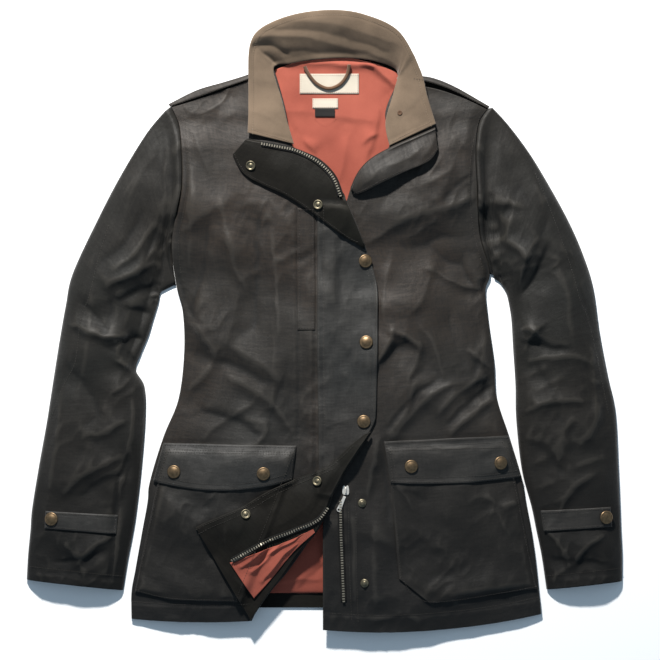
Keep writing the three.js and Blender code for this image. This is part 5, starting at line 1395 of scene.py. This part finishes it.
EDGE_STITCH, SECOND_STITCH = 2.5, 8
stitch_paths = []
for key, by in (("pocket_right", EDGE_STITCH), ("pocket_left", EDGE_STITCH),
                ("pocket_flap_right", EDGE_STITCH), ("pocket_flap_left", EDGE_STITCH),
                ("pocket_flap_right", SECOND_STITCH), ("pocket_flap_left", SECOND_STITCH),
                ("chest_welt", EDGE_STITCH), ("cuff_tab_right", EDGE_STITCH),
                ("cuff_tab_left", EDGE_STITCH)):
    stitch_paths += inset(key, by)
stitch_paths += [
    edge_line(STORM_FLAP, 1, EDGE_STITCH, 2, 9), edge_line(STORM_FLAP, 1, SECOND_STITCH, 2, 9),
    edge_line(STORM_FLAP, 0, 2, 0, 9), edge_line(STORM_FLAP, 0, SECOND_STITCH, 0, 9),
    edge_line(RIGHT_LAPEL, 1, 3, 0, 8), edge_line(LEFT_LAPEL, 1, 3, 0, 6),
    edge_line(CORNER, 1, 3, 1), edge_line(CORNER, 1, 9, 2), beside(RIGHT_SLEEVE_SEAM, 3),
    beside(LEFT_SLEEVE_SEAM, -3), hem_line(RIGHT_FRONT, HEM_DEPTH), hem_line(LEFT_FRONT, HEM_DEPTH),
    column(RIGHT_YOKE, 0)[:4], column(LEFT_YOKE, 0)[:4],
    [(-176, 258), (-171, 215), (-171, 165), (-182, 104), (-180, 62)],
    [(194, 256), (183, 205), (182, 150), (188, 108), (198, 66)],
    [(30, -224), (31, -300), (34, -372)], [(39, -214), (40, -300), (42, -374)],
    [(-368, -306), (-252, -318)], [(277, -318), (371, -308)],
]
repeated("stitches", stitch_paths, STITCH, THREAD, 0.12)
collar_paths = [edge_line(COLLAR, 1, 6.5), [(-45, 226), (-90, 240)], [(86, 226), (133, 250)]]
repeated("collar_stitches", collar_paths, COLLAR_STITCH, COLLAR_THREAD, 0.1)
arc = [(-12 + 26 * k, 254 - 9 * math.sin(math.pi * k)) for k in np.linspace(0, 1, 9)]
label_paths = inset("label_main", 1.4) + inset("label_small", 1.4) + [arc]
repeated("label_stitches", label_paths, LABEL_STITCH, LINING_CLOTH, 0.1, 1.4)

# snaps


def turned_profile(profile, around=40):
    """Points and faces of a turned piece, profile as (radius, height) from the underside up."""
    points, faces = [], []
    angle = np.linspace(0, 2 * math.pi, around, endpoint=False)
    rings = []
    for r, z in profile:
        if r < 1e-6:
            rings.append([len(points)])
            points.append((0, 0, z))
        else:
            rings.append(list(range(len(points), len(points) + around)))
            points += [(r * math.cos(a), r * math.sin(a), z) for a in angle]
    for low, high in zip(rings[:-1], rings[1:]):
        for i in range(around):
            j = (i + 1) % around
            if len(low) == 1 and len(high) == 1:
                continue
            if len(low) == 1:
                faces.append([low[0], high[j], high[i]])
            elif len(high) == 1:
                faces.append([low[i], low[j], high[0]])
            else:
                faces.append([low[i], low[j], high[j], high[i]])
    return np.array(points, float), faces


def seat(points, spot, radius):
    """Leans a turned piece with the cloth and sets it down on it."""
    x, y = spot

    def height(dx, dy):
        return float(laid.top(np.array([x + dx]), np.array([y + dy]), 1)[0])
    sx = (height(radius, 0) - height(-radius, 0)) / (2 * radius)
    sy = (height(0, radius) - height(0, -radius)) / (2 * radius)
    lift = 0.0
    for a in np.linspace(0, 2 * math.pi, 16, endpoint=False):
        for part in (0, 0.5, 1):
            dx, dy = math.cos(a) * radius * part, math.sin(a) * radius * part
            lift = max(lift, height(dx, dy) - sx * dx - sy * dy)
    turn = Vector((0, 0, 1)).rotation_difference(Vector((-sx, -sy, 1)).normalized()).to_matrix()
    return points @ np.array(turn).T + np.array([x, y, lift + 0.15])


CAP, RING, STUD = CAP_DIAMETER / 2, SOCKET_DIAMETER / 2, STUD_DIAMETER / 2
# distance from the axis, height
CAP_PROFILE = [(0, 0), (CAP - 1.2, 0), (CAP - 0.3, 0.25), (CAP, 0.8), (CAP - 0.15, 1.35),
               (CAP - 0.8, 1.75), (CAP - 1.4, 1.85), (CAP - 1.8, 1.8), (CAP - 2.6, 2.1),
               (CAP - 4.2, 2.7), (CAP - 6.2, 3.1), (0, 3.25)]
RING_PROFILE = [(0, 0), (RING - 0.4, 0), (RING, 0.4), (RING - 0.2, 1.2), (RING - 0.9, 1.6),
                (RING - 1.6, 1.3), (RING - 1.8, 0.5), (2.4, 0.4), (2.2, 1.1), (1.7, 1.4), (0, 1.4)]
STUD_PROFILE = [(0, 0), (STUD - 0.4, 0), (STUD, 0.4), (STUD - 0.6, 1.0), (3.2, 1.25), (2.3, 1.4),
                (2.3, 2.0), (2.7, 2.6), (2.3, 3.2), (1.5, 3.4), (0, 3.3)]
for group, profile, material, radius in (
        (SNAP_CAPS, CAP_PROFILE, BRONZE, CAP), (SOCKETS, RING_PROFILE, BRASS, RING),
        (STUDS, STUD_PROFILE, BRASS, STUD)):
    for part_name, spot in group.items():
        points, faces = turned_profile(profile)
        make_object(part_name, seat(points, spot, radius), faces, material)

# slider and pull tab


def block_from_outline(name, outline, low, high, material, body, ease=0.35, hole=None):
    """A flat metal piece with eased edges, from its plan outline."""
    pts = np.asarray(outline, float)
    mid = pts.mean(0)
    layers = [(1 - ease * 0.12, low), (1.0, low + ease), (1.0, high - ease), (1 - ease * 0.12, high)]
    n = len(pts)
    points, faces = [], []
    for scale, z in layers:
        points += [((p[0] - mid[0]) * scale + mid[0], (p[1] - mid[1]) * scale + mid[1], z) for p in pts]
    for k in range(3):
        for i in range(n):
            j = (i + 1) % n
            faces.append([k * n + i, k * n + j, (k + 1) * n + j, (k + 1) * n + i])
    if hole is None:
        faces.append(list(range(n))[::-1])
        faces.append(list(range(3 * n, 4 * n)))
    else:
        cx, cy, r = hole
        base = len(points)
        for z in (low, high):
            for p in pts:
                a = math.atan2(p[1] - cy, p[0] - cx)
                points.append((cx + r * math.cos(a), cy + r * math.sin(a), z))
        for i in range(n):
            j = (i + 1) % n
            faces.append([j, i, base + i, base + j])
            faces.append([3 * n + i, 3 * n + j, base + n + j, base + n + i])
            faces.append([base + i, base + n + i, base + n + j, base + j])
    make_object(name, points, faces, material, body=body, smooth_faces=False)


slider_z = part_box("zip_slider")[0].z / MM
slider_x, slider_y = SLIDER_AT
slider_outline = [(-4.2, -4), (-3.4, -5.6), (-2, -6), (2, -6), (3.4, -5.6), (4.2, -4), (4.3, 0),
                  (3.6, 4.4), (2.4, 5.8), (1.2, 5.2), (0, 3.6), (-1.2, 5.2), (-2.4, 5.8), (-3.6, 4.4),
                  (-4.3, 0)]
block_from_outline("zip_slider", [(x + slider_x, y + slider_y) for x, y in slider_outline],
                   slider_z, slider_z + SLIDER_THICK, NICKEL, JACKET)
bail_path = [(0, -4.6, 2.6), (0, -3.4, 4.2), (0, -0.4, 4.6), (0, 2.6, 4.0), (0, 3.4, 2.6)]
tube("zip_bail", np.array(bail_path) + (slider_x, slider_y, slider_z), BAIL_RADIUS, NICKEL,
     steps=24, flatten=1.0)
pull_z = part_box("zip_pull")[0].z / MM


def pull_tab():
    """The zip's pull tab: a round-ended plate with a hole."""
    start, end = np.array(PULL_FROM), np.array(PULL_TO)
    along = (end - start) / np.linalg.norm(end - start)
    side = np.array([-along[1], along[0]])
    length = float(np.linalg.norm(end - start))
    half = PULL_WIDTH / 2
    rim = [(0, -half * 0.62), (length * 0.2, -half * 0.62), (length * 0.5, -half * 0.8)]
    rim += [(length - half + math.cos(a) * half, math.sin(a) * half)
            for a in np.linspace(-math.pi / 2, math.pi / 2, 15)]
    rim += [(length * 0.5, half * 0.8), (length * 0.2, half * 0.62), (0, half * 0.62)]
    outline = [tuple(start + along * u + side * v) for u, v in rim]
    centre = start + along * (length - half)
    block_from_outline("zip_pull", outline, pull_z, pull_z + PULL_THICK, NICKEL, PULL_TAB, 0.3,
                       (centre[0], centre[1], PULL_HOLE_RADIUS))


pull_tab()

# eyelet on the collar
EYELET_SPOT = (94, 261)
EYELET_RADIUS = 3.0
EYELET_PROFILE = [(0, 0), (EYELET_RADIUS, 0), (3.2, 0.3), (2.6, 0.55), (1.4, 0.4), (1.1, 0.1),
                  (0, 0.1)]
points, faces = turned_profile(EYELET_PROFILE, 28)
make_object("collar_eyelet", seat(points, EYELET_SPOT, EYELET_RADIUS), faces, LOOP_CLOTH)

# what each piece stands for
# slot, flat width and length, flat area where the cut isn't a rectangle, all in metres
SHEETS = {
    "back_panel": ("waxed_cotton", (0.53, 0.70), 0.31),
    "lining_neck": ("lining_cloth", (0.17, 0.22), 0.027),
    "lining_hem": ("lining_cloth", (0.12, 0.15), 0.012),
    "front_left": ("waxed_cotton", (0.28, 0.70), 0.145),
    "front_right": ("waxed_cotton", (0.27, 0.70), 0.13),
    "sleeve_right": ("waxed_cotton", (0.30, 0.62), 0.15),
    "sleeve_left": ("waxed_cotton", (0.30, 0.62), 0.15),
    "yoke_right": ("waxed_cotton", (0.010, 0.135), None),
    "yoke_left": ("waxed_cotton", (0.010, 0.105), None),
    "collar": ("collar_cloth", (0.068, 0.40), None),
    "pocket_right": ("waxed_cotton", (0.19, 0.18), None),
    "pocket_left": ("waxed_cotton", (0.18, 0.16), None),
    "pocket_flap_right": ("waxed_cotton", (0.175, 0.055), None),
    "pocket_flap_left": ("waxed_cotton", (0.165, 0.055), None),
    "chest_welt": ("waxed_cotton", (0.023, 0.152), None),
    "storm_flap": ("waxed_cotton", (0.074, 0.36), 0.021),
    "lapel_right": ("facing_cloth", (0.06, 0.20), 0.0085),
    "lapel_left": ("facing_cloth", (0.032, 0.14), 0.0042),
    "turned_corner": ("facing_cloth", (0.12, 0.28), 0.021),
    "lining_front": ("lining_cloth", (0.05, 0.12), 0.0028),
    "label_main": ("label_cloth", (0.075, 0.025), None),
    "label_small": ("label_cloth", (0.034, 0.011), None),
    "label_tab": ("label_black", (0.025, 0.010), None),
    "cuff_tab_right": ("waxed_cotton", (0.09, 0.025), None),
    "cuff_tab_left": ("waxed_cotton", (0.09, 0.027), None),
}
slots = {node: slot_name for node, (slot_name, flat, area) in SHEETS.items()}
slots.update({zip_name: "zip_tape" for zip_name in ZIP_PATHS})
slots["hanger_loop"] = "loop_cloth"
slots.update({part_name: "snap_bronze" for part_name in SNAP_CAPS})
slots.update({part_name: "snap_brass" for part_name in (*SOCKETS, *STUDS)})
slots.update({"zip_slider": "slider_nickel", "zip_pull": "slider_nickel"})
for node, slot_name in slots.items():
    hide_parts(node)

# table, light and camera, metres
FLOOR_HALF, FLOOR_LEVEL = 3, -0.0004
LAMP_AT = (-0.40, 1.82, 1.30)
CAMERA_AT = (0.0069, -0.010, 4.0)
CLOTH_LEVEL = 0.015             # height at which the view is as wide as stated
VIEW_WIDTH = 0.825
SENSOR = 36                     # millimetres
corners = [(-1, -1), (1, -1), (1, 1), (-1, 1)]
floor_mesh = bpy.data.meshes.new("floor")
floor_mesh.from_pydata([(FLOOR_HALF * x, FLOOR_HALF * y, FLOOR_LEVEL) for x, y in corners], [],
                       [(0, 1, 2, 3)])
floor = bpy.data.objects.new("floor", floor_mesh)
bpy.context.scene.collection.objects.link(floor)
floor_mesh.materials.append(Finish("white_table").set(Base_Color=(0.95, 0.95, 0.95, 1),
                                                      Roughness=0.9).material)

world = bpy.data.worlds.new("studio")
bpy.context.scene.world = world
world.use_nodes = True
sky = world.node_tree.nodes["Background"]
sky.inputs["Color"].default_value = (0.60, 0.80, 1.0, 1)
sky.inputs["Strength"].default_value = 0.36

lamp = bpy.data.lights.new("window_light", "SPOT")
lamp.energy = 470
lamp.shadow_soft_size = 0.085
lamp.spot_size = math.radians(120)
lamp.spot_blend = 0.6
lamp.color = (1.0, 0.975, 0.94)
lamp_object = bpy.data.objects.new("window_light", lamp)
lamp_object.location = LAMP_AT
lamp_object.rotation_mode = "QUATERNION"
lamp_object.rotation_quaternion = Vector(LAMP_AT).to_track_quat("Z", "Y")
bpy.context.scene.collection.objects.link(lamp_object)

camera_data = bpy.data.cameras.new("overhead")
camera_data.sensor_width = SENSOR
camera_data.lens = SENSOR * (CAMERA_AT[2] - CLOTH_LEVEL) / VIEW_WIDTH
camera_data.clip_end = 20
camera = bpy.data.objects.new("overhead", camera_data)
camera.location = CAMERA_AT
bpy.context.scene.collection.objects.link(camera)
bpy.context.scene.camera = camera
bpy.context.scene.view_settings.view_transform = "Standard"
bpy.context.scene.view_settings.look = "None"
